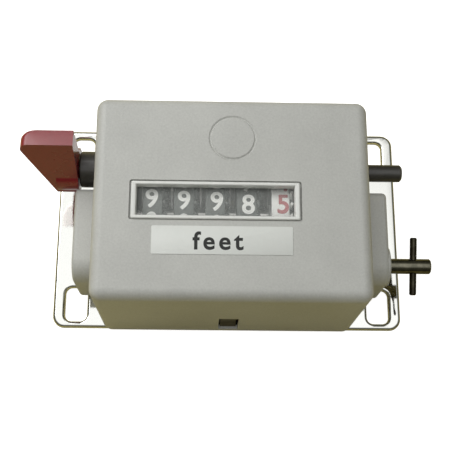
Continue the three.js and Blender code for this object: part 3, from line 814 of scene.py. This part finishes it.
def word_mesh(word, spacing):
    """A word in plain upright letters as a thin closed mesh, in Blender's text units."""
    text = bpy.data.curves.new("word", "FONT")
    text.body = word
    text.space_character = spacing
    text.extrude = 0.01
    text.offset = 0.022
    text.resolution_u = 6
    holder = bpy.data.objects.new("word", text)
    bpy.context.scene.collection.objects.link(holder)
    graph = bpy.context.evaluated_depsgraph_get()
    mesh = bpy.data.meshes.new_from_object(holder.evaluated_get(graph))
    bpy.data.objects.remove(holder)
    bm = bmesh.new()
    bm.from_mesh(mesh)
    bpy.data.meshes.remove(mesh)
    return bm


def fit_into(bm, low, high):
    """Scales and moves a mesh so that it fills a box."""
    lows = [min(v.co[i] for v in bm.verts) for i in range(3)]
    highs = [max(v.co[i] for v in bm.verts) for i in range(3)]
    for vert in bm.verts:
        vert.co = Vector(
            low[i] + (vert.co[i] - lows[i]) / (highs[i] - lows[i]) * (high[i] - low[i])
            for i in range(3)
        )


class COUNTER_OT_label(bpy.types.Operator):
    """Makes the label's film and the unit printed on it"""

    bl_idname = "counter.label"
    bl_label = "Label"

    def execute(self, context):
        bm = bmesh.new()
        outlines = []
        face = LABEL_HIGH.z - 0.02
        for z, inset in ((LABEL_LOW.z, 0), (LABEL_HIGH.z - 0.06, 0), (face, 0.05)):
            outline = rounded(
                LABEL_LOW.x + inset, LABEL_HIGH.x - inset,
                LABEL_LOW.y + inset, LABEL_HIGH.y - inset, LABEL_CORNER,
            )
            outlines.append([(x, y, z) for x, y in outline])
        skin(bm, outlines)
        film = new_piece("label_film", bm, ["label_film"])
        hand_over(film, "frame", "label_film", "unit_label")
        word = word_mesh(settings("counter_label").word, WORD_SPACING)
        fit_into(
            word, (WORD_X[0], WORD_Y[0], face), (WORD_X[1], WORD_Y[1], face + INK_THICK)
        )
        ink = new_piece("label_word", word, ["label_ink"])
        hand_over(ink, "frame", "label_film")
        return {"FINISHED"}


# ---------------------------------------------------------------- figure wheels

# Sizes of a figure wheel, in metres.
WHEEL_RADIUS = 0.0096
RIM_HALF = 0.00245
UNITS_RIM_HALF = 0.0022
RIM_DEEP = 0.0022
RIM_EASING = 0.0002
WEB_THICK = 0.0018
HUB_RADIUS = 0.0028
HUB_LONG = 0.0048
TOOTH_TIP = 0.00045
TOOTH_ROOT = 0.001
TOOTH_HIGH = 0.0022
TEETH_RADIUS = 0.0078
TEETH_SHIFT = 0.0028
FIGURE_RAISED = 0.00004
OUTLINE_STEP = 0.00016
WHEEL_TEETH = 20
# How far the middle of a wheel's rim lies inside the right end of its CAD node, in millimetres.
RIM_BACK = 3.4
UNITS_RIM_BACK = 5.35
# The height, width and advance of a figure in Blender's own typeface, at size 1.
TYPE_HIGH = 0.7
TYPE_WIDE = 0.44
TYPE_ADVANCE = 0.5
# Each wheel's figure, how far it is turned past it in degrees, and its shift along X in mm.
READING = {
    "ten_thousands": (9, -7.6, -0.2),
    "thousands": (9, -5.2, 0),
    "hundreds": (9, -3.8, 0.35),
    "tens": (8, 0.2, 0.4),
    "units": (5, -0.8, 0.65),
}


def socket_of(group, name):
    return next(item.identifier for item in group.interface.items_tree if item.name == name)


class NodeWriter:
    """Adds and links nodes in a geometry tree."""

    def __init__(self, name, inputs):
        self.tree = bpy.data.node_groups.new(name, "GeometryNodeTree")
        for label, kind, value in inputs:
            socket = self.tree.interface.new_socket(name=label, in_out="INPUT", socket_type=kind)
            if value is not None:
                socket.default_value = value
        self.tree.interface.new_socket(
            name="Geometry", in_out="OUTPUT", socket_type="NodeSocketGeometry"
        )
        self.source = self.tree.nodes.new("NodeGroupInput").outputs
        self.sink = self.tree.nodes.new("NodeGroupOutput").inputs

    def feed(self, socket, value):
        if isinstance(value, bpy.types.NodeSocket):
            self.tree.links.new(value, socket)
        else:
            socket.default_value = value

    def add(self, kind, values=(), **options):
        node = self.tree.nodes.new(kind)
        for option, value in options.items():
            setattr(node, option, value)
        for label, value in dict(values).items():
            self.feed(node.inputs[label], value)
        return node

    def math(self, operation, first, second=0.0):
        return self.add("ShaderNodeMath", {0: first, 1: second}, operation=operation).outputs[0]

    def vector(self, x=0.0, y=0.0, z=0.0):
        return self.add("ShaderNodeCombineXYZ", {"X": x, "Y": y, "Z": z}).outputs[0]

    def joined(self, *geometries):
        node = self.add("GeometryNodeJoinGeometry")
        for geometry in geometries:
            self.feed(node.inputs[0], geometry)
        return node.outputs[0]

    def painted(self, geometry, material):
        return self.add(
            "GeometryNodeSetMaterial", {"Geometry": geometry, "Material": material}
        ).outputs[0]


def wheel_body(w):
    """The wheel itself, its axis along X: an eased rim, a web, a hub and the driving teeth."""
    ring = w.add("GeometryNodeCurvePrimitiveCircle", {
        "Resolution": 120, "Radius": w.math("SUBTRACT", w.source["Radius"], RIM_DEEP / 2),
    }).outputs["Curve"]
    section = w.add("GeometryNodeCurvePrimitiveQuadrilateral", {
        "Width": RIM_DEEP, "Height": w.math("MULTIPLY", w.source["Half Width"], 2.0),
    }).outputs[0]
    eased = w.add("GeometryNodeFilletCurve", {
        "Count": 3, "Radius": RIM_EASING, "Limit Radius": True, "Curve": section,
    }, mode="POLY").outputs[0]
    rim = w.add("GeometryNodeCurveToMesh", {"Curve": ring, "Profile Curve": eased}).outputs[0]
    web = w.add("GeometryNodeMeshCylinder", {
        "Vertices": 96, "Radius": w.math("SUBTRACT", w.source["Radius"], RIM_DEEP * 0.8),
        "Depth": WEB_THICK,
    }).outputs["Mesh"]
    hub = w.add("GeometryNodeMeshCylinder", {
        "Vertices": 48, "Radius": HUB_RADIUS, "Depth": HUB_LONG,
    }).outputs["Mesh"]
    tooth = w.add("GeometryNodeMeshCone", {
        "Vertices": 4, "Radius Top": TOOTH_TIP, "Radius Bottom": TOOTH_ROOT, "Depth": TOOTH_HIGH,
    }).outputs["Mesh"]
    tooth_ring = w.add("GeometryNodeCurvePrimitiveCircle", {"Radius": TEETH_RADIUS})
    tooth_points = w.add("GeometryNodeCurveToPoints", {
        "Curve": tooth_ring.outputs["Curve"], "Count": w.source["Teeth"],
    }, mode="COUNT").outputs["Points"]
    facing = w.add("FunctionNodeAlignRotationToVector", {
        "Vector": w.add("GeometryNodeInputPosition").outputs[0],
    }, axis="Z").outputs[0]
    teeth = w.add("GeometryNodeInstanceOnPoints", {
        "Points": tooth_points, "Instance": tooth, "Rotation": facing,
    }).outputs[0]
    teeth_out = w.add("GeometryNodeTransform", {
        "Geometry": teeth, "Translation": (0, 0, TEETH_SHIFT),
    }).outputs[0]
    laid = w.add("GeometryNodeTransform", {
        "Geometry": w.joined(rim, web, hub, teeth_out), "Rotation": (0, math.pi / 2, 0),
        "Translation": w.source["Centre"],
    }).outputs[0]
    solid = w.add("GeometryNodeRealizeInstances", {"Geometry": laid}).outputs[0]
    return w.painted(solid, w.source["Rim Material"])


def wheel_figures(w):
    """The ten figures, stacked in a strip, made bold and raised, then wrapped round the rim."""
    size = w.math("DIVIDE", w.source["Figure Height"], TYPE_HIGH)
    letters = w.add("GeometryNodeStringToCurves", {"String": "0123456789", "Size": size})
    letters.font = bpy.data.curves.new("plain_figures", "FONT").font
    index = w.add("GeometryNodeInputIndex").outputs[0]
    pitch = w.math("MULTIPLY", w.source["Radius"], ROUND / 10)
    step = w.math("MULTIPLY", w.math("SUBTRACT", w.source["Shown"], index), pitch)
    drop = w.math("MULTIPLY", w.source["Figure Height"], -0.5)
    across = w.math("MULTIPLY", w.source["Figure Width"], -0.5 * TYPE_ADVANCE / TYPE_WIDE)
    stacked = w.add("GeometryNodeSetPosition", {
        "Geometry": letters.outputs["Curve Instances"],
        "Position": w.vector(across, w.math("ADD", step, drop)),
    }).outputs[0]
    widen = w.math("DIVIDE", w.math("DIVIDE", w.source["Figure Width"], TYPE_WIDE), size)
    fitted = w.add("GeometryNodeScaleInstances", {
        "Instances": stacked, "Scale": w.vector(widen, 1.0, 1.0),
    }).outputs[0]
    strokes = w.add("GeometryNodeRealizeInstances", {"Geometry": fitted}).outputs[0]
    spaced = w.add("GeometryNodeResampleCurve", {
        "Curve": strokes, "Length": OUTLINE_STEP,
    }, mode="LENGTH").outputs[0]
    outward = w.add("ShaderNodeVectorMath", {
        0: w.add("GeometryNodeInputTangent").outputs[0], 1: (0, 0, 1),
    }, operation="CROSS_PRODUCT").outputs[0]
    gain = w.add("ShaderNodeVectorMath", {
        0: outward, "Scale": w.source["Stroke Gain"],
    }, operation="SCALE").outputs[0]
    bold = w.add("GeometryNodeSetPosition", {"Geometry": spaced, "Offset": gain}).outputs[0]
    faces = w.add("GeometryNodeFillCurve", {"Curve": bold}, mode="TRIANGLES").outputs[0]
    raised = w.add("GeometryNodeExtrudeMesh", {
        "Mesh": faces, "Offset": (0, 0, 1), "Offset Scale": FIGURE_RAISED, "Individual": False,
    }).outputs[0]
    backs = w.add("GeometryNodeFlipFaces", {"Mesh": faces}).outputs[0]
    sealed = w.add("GeometryNodeMergeByDistance", {
        "Geometry": w.joined(raised, backs), "Distance": 1e-6,
    }).outputs[0]
    position = w.add("GeometryNodeInputPosition").outputs[0]
    place = w.add("ShaderNodeSeparateXYZ", {0: position}).outputs
    centre = w.add("ShaderNodeSeparateXYZ", {0: w.source["Centre"]}).outputs
    angle = w.math(
        "SUBTRACT", w.math("DIVIDE", place["Y"], w.source["Radius"]), w.source["Turn"]
    )
    reach = w.math("ADD", w.source["Radius"], place["Z"])
    wrapped = w.vector(
        w.math("ADD", w.math("ADD", centre["X"], w.source["Figure Shift"]), place["X"]),
        w.math("ADD", centre["Y"], w.math("MULTIPLY", reach, w.math("SINE", angle))),
        w.math("ADD", centre["Z"], w.math("MULTIPLY", reach, w.math("COSINE", angle))),
    )
    rolled = w.add("GeometryNodeSetPosition", {
        "Geometry": sealed, "Position": wrapped,
    }).outputs[0]
    plain = w.add("GeometryNodeRealizeInstances", {"Geometry": rolled}).outputs[0]
    return w.painted(plain, w.source["Figure Material"])


def wheel_tree():
    """A figure wheel, turned so that one of its ten figures is shown."""
    w = NodeWriter("figure_wheel", [
        ("Centre", "NodeSocketVector", None), ("Radius", "NodeSocketFloat", WHEEL_RADIUS),
        ("Half Width", "NodeSocketFloat", RIM_HALF), ("Figure Height", "NodeSocketFloat", 0.005),
        ("Figure Width", "NodeSocketFloat", 0.0032), ("Stroke Gain", "NodeSocketFloat", 0.00014),
        ("Turn", "NodeSocketFloat", 0.0), ("Figure Shift", "NodeSocketFloat", 0.0),
        ("Shown", "NodeSocketFloat", 0.0), ("Teeth", "NodeSocketInt", WHEEL_TEETH),
        ("Rim Material", "NodeSocketMaterial", None),
        ("Figure Material", "NodeSocketMaterial", None),
    ])
    w.feed(w.sink["Geometry"], w.joined(wheel_body(w), wheel_figures(w)))
    return w.tree


class COUNTER_OT_figure_wheels(bpy.types.Operator):
    """Makes the five figure wheels, each turned to the figure that it shows"""

    bl_idname = "counter.figure_wheels"
    bl_label = "Figure wheels"

    def execute(self, context):
        figures = settings("counter_figures")
        tree = wheel_tree()
        for place in PLACES:
            node = f"figure_wheel_{place}"
            units = place == "units"
            shown, turn, shift = READING[place]
            rim = "figure_white" if units else "figure_black"
            centre_x = span(node)[1].x - (UNITS_RIM_BACK if units else RIM_BACK)
            wheel = bpy.data.objects.new(f"wheel_{place}", bpy.data.meshes.new(f"wheel_{place}"))
            context.scene.collection.objects.link(wheel)
            step = wheel.modifiers.new("figure_wheel", "NODES")
            step.node_group = tree
            values = {
                "Centre": (centre_x * MM, WHEEL_Y * MM, WHEEL_Z * MM),
                "Radius": WHEEL_RADIUS,
                "Half Width": UNITS_RIM_HALF if units else RIM_HALF,
                "Figure Shift": shift * MM,
                "Figure Height": figures.figure_high,
                "Figure Width": figures.figure_wide,
                "Turn": math.radians(turn),
                "Shown": float(shown),
                "Teeth": WHEEL_TEETH,
                "Rim Material": finish(rim),
                "Figure Material": finish("figure_red" if units else "figure_paint"),
            }
            for label, value in values.items():
                step[socket_of(tree, label)] = value
            settle(wheel, 30)
            hand_over(wheel, f"wheel_{place}", rim, node)
        return {"FINISHED"}


# ---------------------------------------------------------------- end frames

CASTING_IN = 29.6
CASTING_OUT = 32.3
CASTING_FOOT = 1.65
CASTING_OUTLINE = (
    (16, CASTING_FOOT), (16, 28), (10.5, 36), (-13, 36), (-20.1, 30), (-20.1, CASTING_FOOT),
)
FOOT_IN = 22
FOOT_NEAR = -16
FOOT_FAR = 14
FOOT_TOP = 5
BOSS_FACES = {-1: 40.7, 1: 41.4}
BOSS_EASING = 1.1
RING_FACE = 41.9
RING_RADIUS = 5.2
RING_EASING = 0.35
# The Y, Z and radius of the bores: wheel spindle, pinion shaft, reset shaft, lower and upper rod.
CASTING_BORES = (
    (WHEEL_Y, WHEEL_Z, 1.58), (-16.5, WHEEL_Z, 1.33), (RESET_Y, RESET_Z, RESET_BORE),
    (0, 8, 1.58), (8.5, 32, 1.58),
)
BORE_IN = 28
BORE_OUT = 33.5
BUSH_BORE = 3.28
BUSH_ENDS = {-1: -38.7, 1: 43.4}
BUSH_RADIUS = 3.2
BUSH_INSIDE = 2.08
BUSH_EASING = 0.2


def end_frame(side):
    """One grey casting: the upright with its foot inside, and the bearing boss outside."""
    face = BOSS_FACES[side]
    upright = bmesh.new()
    prism(upright, CASTING_OUTLINE, *sorted((side * CASTING_IN, side * CASTING_OUT)))
    body = new_piece(f"casting_{side}", upright, ["grey_enamel"])
    foot_x = sorted((side * FOOT_IN, side * CASTING_OUT))
    foot = new_piece("foot", block(
        (foot_x[0], FOOT_NEAR, CASTING_FOOT), (foot_x[1], FOOT_FAR, FOOT_TOP)
    ), ["grey_enamel"])
    boss_mesh = bmesh.new()
    boss_x = sorted((side * (CASTING_OUT - 1), side * face))
    prism(boss_mesh, boss_outline(0, CASTING_FOOT), *boss_x)
    boss = new_piece("boss", boss_mesh, ["grey_enamel"])
    soften(boss, BOSS_EASING, segments=5)
    parts = [foot, boss]
    if side > 0:
        ring_mesh = bmesh.new()
        turned(ring_mesh, [
            (face - 2, RING_RADIUS), (RING_FACE - RING_EASING, RING_RADIUS),
            (RING_FACE, RING_RADIUS - RING_EASING),
        ], DRIVE_Y, DRIVE_Z, 72)
        parts.append(new_piece("ring", ring_mesh, ["grey_enamel"]))
    return body, parts


class COUNTER_OT_end_frames(bpy.types.Operator):
    """Makes the two grey end castings with their bearing bosses"""

    bl_idname = "counter.end_frames"
    bl_label = "End frames"

    def execute(self, context):
        for side, name in ((-1, "left"), (1, "right")):
            body, parts = end_frame(side)
            combine(body, parts, "UNION")
            body.name = f"end_casting_{name}"
            cutters = []
            for y, z, radius in CASTING_BORES:
                bm = bmesh.new()
                turned(bm, [(side * BORE_IN, radius), (side * BORE_OUT, radius)], y, z, 32)
                cutters.append(new_piece("bore", bm, []))
            bm = bmesh.new()
            bush_ends = [(side * BORE_IN, BUSH_BORE), (BUSH_ENDS[side], BUSH_BORE)]
            turned(bm, bush_ends, DRIVE_Y, DRIVE_Z, 48)
            cutters.append(new_piece("bush_bore", bm, []))
            hole = Vector((SCREW_HOLE, SCREW_HOLE, 0))
            for y in SCREW_YS:
                foot, top = Vector((side * SCREW_X, y, 0)), Vector((side * SCREW_X, y, SCREW_DEEP))
                cutters.append(new_piece("screw_hole", block(foot - hole, top + hole), []))
            combine(body, cutters, "DIFFERENCE")
            hand_over(flatten_faces(body), "frame", "grey_enamel", f"end_frame_{name}")
        low, high = span("drive_bush_right")
        bm = bmesh.new()
        steps = [
            (low.x, BUSH_INSIDE), (low.x, BUSH_RADIUS), (high.x - BUSH_EASING, BUSH_RADIUS),
            (high.x, 3.0), (high.x, 2.3), (high.x - BUSH_EASING, BUSH_INSIDE),
        ]
        turned(bm, steps, DRIVE_Y, DRIVE_Z, 64, closed=True)
        hand_over(new_piece("bearing_bush", bm, ["bronze"]), "frame", "bronze", "drive_bush_right")
        return {"FINISHED"}


# ---------------------------------------------------------------- drive shaft

SHAFT_RADIUS = 2
PIN_LEAN = math.radians(17.4)
PIN_HALF = 7.6
PIN_EASING = 0.3


class COUNTER_OT_drive_shaft(bpy.types.Operator):
    """Makes the drive shaft with its chamfered end and centre mark, and the cross pin"""

    bl_idname = "counter.drive_shaft"
    bl_label = "Drive shaft"

    def execute(self, context):
        end = SHAFT_HIGH.x
        steps = [
            (SHAFT_LOW.x, 1.6), (SHAFT_LOW.x + 0.4, SHAFT_RADIUS), (end - 2.1, SHAFT_RADIUS),
            (end - 0.32, SHAFT_RADIUS), (end, 1.68), (end, 0.75), (end - 0.5, 0.25),
        ]
        bm = bmesh.new()
        turned(bm, steps, DRIVE_Y, DRIVE_Z, 72)
        shaft = new_piece("shaft_turned", bm, ["drive_steel"], 25)
        hand_over(shaft, "drive", "drive_steel", "drive_shaft")
        pin_low, pin_high = span("drive_cross_pin")
        middle = (pin_low + pin_high) / 2
        radius = (pin_high.x - pin_low.x) / 2
        tip = radius * 0.72
        steps = [
            (-PIN_HALF, tip), (-PIN_HALF + PIN_EASING, radius),
            (PIN_HALF - PIN_EASING, radius), (PIN_HALF, tip),
        ]
        loops = [
            [(middle.x + across,
              middle.y + along * math.cos(PIN_LEAN) - up * math.sin(PIN_LEAN),
              middle.z + along * math.sin(PIN_LEAN) + up * math.cos(PIN_LEAN))
             for across, up in circle(0, 0, r, 40)]
            for along, r in steps
        ]
        bm = bmesh.new()
        skin(bm, loops)
        pin = new_piece("cross_pin", bm, ["pin_steel"])
        hand_over(pin, "drive", "drive_steel", "drive_cross_pin")
        return {"FINISHED"}


# ---------------------------------------------------------------- reset shaft, hub and lever

LEVER_REACH = 16.6
LEVER_HUB = 5.7
LEVER_BORE = (-45.25, -38)
LEVER_EASING = 0.8
HUB_OUT = -45.6
BLADE_IN = -39.9
BLADE_OUT_AT_ROOT = -45.8
BLADE_ROOT = -2.2
# How far the blade's near and far faces lie from the shaft's axis, at its tip and at its root.
BLADE_NEAR = (-1.95, -5.6)
BLADE_FAR = (2.35, 3.4)
TIP_ROUND = 1.9
EDGE_ROUND = 2.2


def lever_blade(lean):
    """The lever's blade: it flares away from the hood, and its outer edge is round at the back."""
    x_tip = LEVER_LOW.x
    outline = [(BLADE_IN, BLADE_ROOT), (BLADE_IN, LEVER_REACH), (x_tip + TIP_ROUND, LEVER_REACH)]
    for i in range(1, 8):
        angle = math.radians(90 + i * 120 / 7)
        outline.append((
            x_tip + TIP_ROUND + TIP_ROUND * math.cos(angle),
            LEVER_REACH - TIP_ROUND + TIP_ROUND * math.sin(angle),
        ))
    outline.append((BLADE_OUT_AT_ROOT, BLADE_ROOT))
    bm = bmesh.new()
    loops = []
    slices = [(BLADE_NEAR, 0, 0)]
    for turn in [math.radians(90 * i / 6) for i in range(7)]:
        back, inset = EDGE_ROUND * (math.sin(turn) - 1), EDGE_ROUND * (1 - math.cos(turn))
        slices.append((BLADE_FAR, back, inset))
    for (at_tip, at_root), back, inset in slices:
        loop = []
        for x, along in outline:
            share = (LEVER_REACH - along) / (LEVER_REACH - BLADE_ROOT)
            across = at_tip + (at_root - at_tip) * share + back
            y = RESET_Y + along * math.sin(lean) + across * math.cos(lean)
            z = RESET_Z + along * math.cos(lean) - across * math.sin(lean)
            loop.append((x if x == BLADE_IN else min(x + inset, BLADE_IN - 1), y, z))
        loops.append(loop)
    skin(bm, loops)
    return bm


class COUNTER_OT_reset_lever(bpy.types.Operator):
    """Makes the black reset shaft and hub, and the red lever"""

    bl_idname = "counter.reset_lever"
    bl_label = "Reset lever"

    def execute(self, context):
        lean = settings("counter_reset").lean
        lever = new_piece("lever", lever_blade(lean), ["red_plastic"])
        hub_mesh = bmesh.new()
        turned(hub_mesh, [(HUB_OUT, LEVER_HUB), (BLADE_IN, LEVER_HUB)], RESET_Y, RESET_Z, 64)
        combine(lever, [new_piece("lever_hub", hub_mesh, ["red_plastic"])], "UNION")
        bore = bmesh.new()
        turned(bore, [(x, RESET_BORE) for x in LEVER_BORE], RESET_Y, RESET_Z, 48)
        combine(lever, [new_piece("lever_bore", bore, [])], "DIFFERENCE")
        soften(lever, LEVER_EASING, segments=5, angle=40)
        hand_over(flatten_faces(lever), "reset", "red_plastic", "reset_lever")

        shaft = bmesh.new()
        steps = [
            (RESET_LOW.x, 1.9), (RESET_LOW.x + 0.4, 2.3), (RESET_HIGH.x - 0.5, 2.3),
            (RESET_HIGH.x, 1.8),
        ]
        turned(shaft, steps, RESET_Y, RESET_Z, 56)
        rod = new_piece("reset_rod", shaft, ["black_oxide"])
        hand_over(rod, "reset", "black_oxide", "reset_shaft")

        hub = bmesh.new()
        steps = [
            (HUB_LOW.x, RESET_BORE), (HUB_LOW.x, 4.5), (HUB_LOW.x + 0.3, 4.8),
            (HUB_HIGH.x - 0.5, 4.8), (HUB_HIGH.x, 4.3), (HUB_HIGH.x, RESET_BORE),
        ]
        turned(hub, steps, RESET_Y, RESET_Z, 64, closed=True)
        collar = new_piece("reset_collar", hub, ["black_oxide"])
        hand_over(collar, "reset", "black_oxide", "reset_hub")
        return {"FINISHED"}


# ---------------------------------------------------------------- inner works

class COUNTER_OT_inner_works(bpy.types.Operator):
    """Gives the gears, pinions, rods, screws and bushes inside their finishes"""

    bl_idname = "counter.inner_works"
    bl_label = "Inner works"

    def execute(self, context):
        slots = {part["node"]: part["material_slot"] for part in frame["record"]["subparts"]}
        for node, piece in frame["nodes"].items():
            piece.data.materials.clear()
            piece.data.materials.append(finish(slots[node]))
        return {"FINISHED"}


# ---------------------------------------------------------------- stage

FLOOR_HALF = 3000
# The floor's tone in the light that it sends back to the object.
FLOOR_BOUNCE = (0.62, 0.54, 0.24, 1)
AIM = (0, 0, 0.02)
# A lamp's place and its two sides, in metres.
KEY_LAMP = ((-0.19, 0.14, 0.235), 0.18, 0.18)
STRIP_LAMP = ((-0.06, 0.27, 0.42), 0.26, 0.07)
# The studio's tones from the horizon up, and the heights where they are reached.
HORIZON = (0.02, (0.05, 0.046, 0.025, 1))
HIGH_WALL = (0.79, (0.2, 0.2, 0.17, 1))
CEILING_AT = 0.94
CAMERA_PLACE = (-7.27, -78.12, 254.74)
CAMERA_ANGLES = (-4.7, 72.63, 5.19)


def floor_material():
    """Pale floor that the camera sees as white, and that lights the object with a warm tone."""
    material, tree, shader, place = blank_material("pale_floor")
    marks = placed(tree, "surface_grain", place, grain_scale=300.0, mottle_scale=4.0)
    tone = mixed(tree, marks.outputs["Colour Mask"], (0.86, 0.86, 0.85), (0.9, 0.9, 0.89))
    tree.links.new(tone, shader.inputs["Base Color"])
    shader.inputs["Roughness"].default_value = 0.9
    shader.inputs["Emission Color"].default_value = (1, 1, 1, 1)
    shader.inputs["Emission Strength"].default_value = 0.8
    warm = tree.nodes.new("ShaderNodeBsdfDiffuse")
    warm.inputs["Color"].default_value = FLOOR_BOUNCE
    seen = tree.nodes.new("ShaderNodeLightPath").outputs["Is Camera Ray"]
    mix = tree.nodes.new("ShaderNodeMixShader")
    tree.links.new(seen, mix.inputs[0])
    tree.links.new(warm.outputs[0], mix.inputs[1])
    tree.links.new(shader.outputs[0], mix.inputs[2])
    tree.links.new(mix.outputs[0], tree.nodes["Material Output"].inputs["Surface"])
    return material


def studio_world(sky):
    """A bright ceiling that falls away to a dim warm room near the horizon."""
    world = bpy.data.worlds.new("studio")
    world.use_nodes = True
    tree = world.node_tree
    direction = tree.nodes.new("ShaderNodeTexCoord").outputs["Generated"]
    height = tree.nodes.new("ShaderNodeSeparateXYZ")
    tree.links.new(direction, height.inputs[0])
    ramp = tree.nodes.new("ShaderNodeValToRGB")
    tones = ramp.color_ramp.elements
    tones[0].position, tones[0].color = HORIZON
    tones[1].position, tones[1].color = CEILING_AT, (sky, sky, sky, 1)
    tones.new(HIGH_WALL[0]).color = HIGH_WALL[1]
    tree.links.new(height.outputs["Z"], ramp.inputs[0])
    tree.links.new(ramp.outputs[0], tree.nodes["Background"].inputs["Color"])
    return world


def camera_turn(azimuth, elevation, roll):
    """The rotation of a camera that looks back along a direction, rolled in the picture's plane."""
    a, e, r = (math.radians(angle) for angle in (azimuth, elevation, roll))
    back = Vector((math.sin(a) * math.cos(e), -math.cos(a) * math.cos(e), math.sin(e)))
    right = Vector((0, 0, 1)).cross(back).normalized()
    up = back.cross(right)
    rolled_right = right * math.cos(r) + up * math.sin(r)
    rolled_up = up * math.cos(r) - right * math.sin(r)
    return Matrix((rolled_right, rolled_up, back)).transposed()


def soft_light(name, place, wide, high, watts):
    """A rectangular lamp that faces the object."""
    lamp = bpy.data.lights.new(name, "AREA")
    lamp.shape = "RECTANGLE"
    lamp.size, lamp.size_y, lamp.energy = wide, high, watts
    holder = bpy.data.objects.new(name, lamp)
    holder.location = place
    aim = Vector(AIM) - holder.location
    holder.rotation_euler = aim.to_track_quat("-Z", "Y").to_euler()
    bpy.context.scene.collection.objects.link(holder)


class COUNTER_OT_stage(bpy.types.Operator):
    """Sets the pale floor, the soft studio light and the camera"""

    bl_idname = "counter.stage"
    bl_label = "Stage"

    def execute(self, context):
        stage = settings("counter_stage")
        bm = bmesh.new()
        bmesh.ops.create_grid(bm, x_segments=2, y_segments=2, size=FLOOR_HALF)
        floor = new_piece("floor", bm, [])
        for polygon in floor.data.polygons:
            if polygon.normal.z < 0:
                polygon.flip()
        floor.data.materials.append(floor_material())
        context.scene.world = studio_world(stage.sky)

        soft_light("key", *KEY_LAMP, stage.key_watts)
        soft_light("strip", *STRIP_LAMP, stage.strip_watts)

        lens = bpy.data.cameras.new("camera")
        lens.sensor_width = 36
        lens.lens = stage.focal / MM
        lens.clip_start = 0.01
        camera = bpy.data.objects.new("camera", lens)
        turn = camera_turn(*CAMERA_ANGLES).to_4x4()
        camera.matrix_world = Matrix.Translation(Vector(CAMERA_PLACE) * MM) @ turn
        context.scene.collection.objects.link(camera)
        context.scene.camera = camera
        context.scene.view_settings.view_transform = "Standard"
        return {"FINISHED"}


# ---------------------------------------------------------------- add-on

OPERATORS = (
    COUNTER_OT_base_plate,
    COUNTER_OT_hood,
    COUNTER_OT_window,
    COUNTER_OT_label,
    COUNTER_OT_figure_wheels,
    COUNTER_OT_end_frames,
    COUNTER_OT_drive_shaft,
    COUNTER_OT_reset_lever,
    COUNTER_OT_inner_works,
    COUNTER_OT_stage,
)


class COUNTER_PT_panel(bpy.types.Panel):
    bl_label = "Measuring wheel counter"
    bl_idname = "COUNTER_PT_panel"
    bl_space_type = "VIEW_3D"
    bl_region_type = "UI"
    bl_category = "Counter"

    def draw(self, context):
        for operator in OPERATORS:
            self.layout.operator(operator.bl_idname)
        for name, group in SETTINGS.items():
            box = self.layout.box()
            for label in group.__annotations__:
                box.prop(getattr(context.scene, name), label)


def register():
    for group in SETTINGS.values():
        bpy.utils.register_class(group)
    for name, group in SETTINGS.items():
        setattr(bpy.types.Scene, name, bpy.props.PointerProperty(type=group))
    for operator in OPERATORS:
        bpy.utils.register_class(operator)
    bpy.utils.register_class(COUNTER_PT_panel)


def unregister():
    bpy.utils.unregister_class(COUNTER_PT_panel)
    for operator in reversed(OPERATORS):
        bpy.utils.unregister_class(operator)
    for name, group in SETTINGS.items():
        delattr(bpy.types.Scene, name)
        bpy.utils.unregister_class(group)


def main():
    register()
    for operator in OPERATORS:
        family, name = operator.bl_idname.split(".")
        getattr(getattr(bpy.ops, family), name)()


if __name__ == "__main__":
    main()
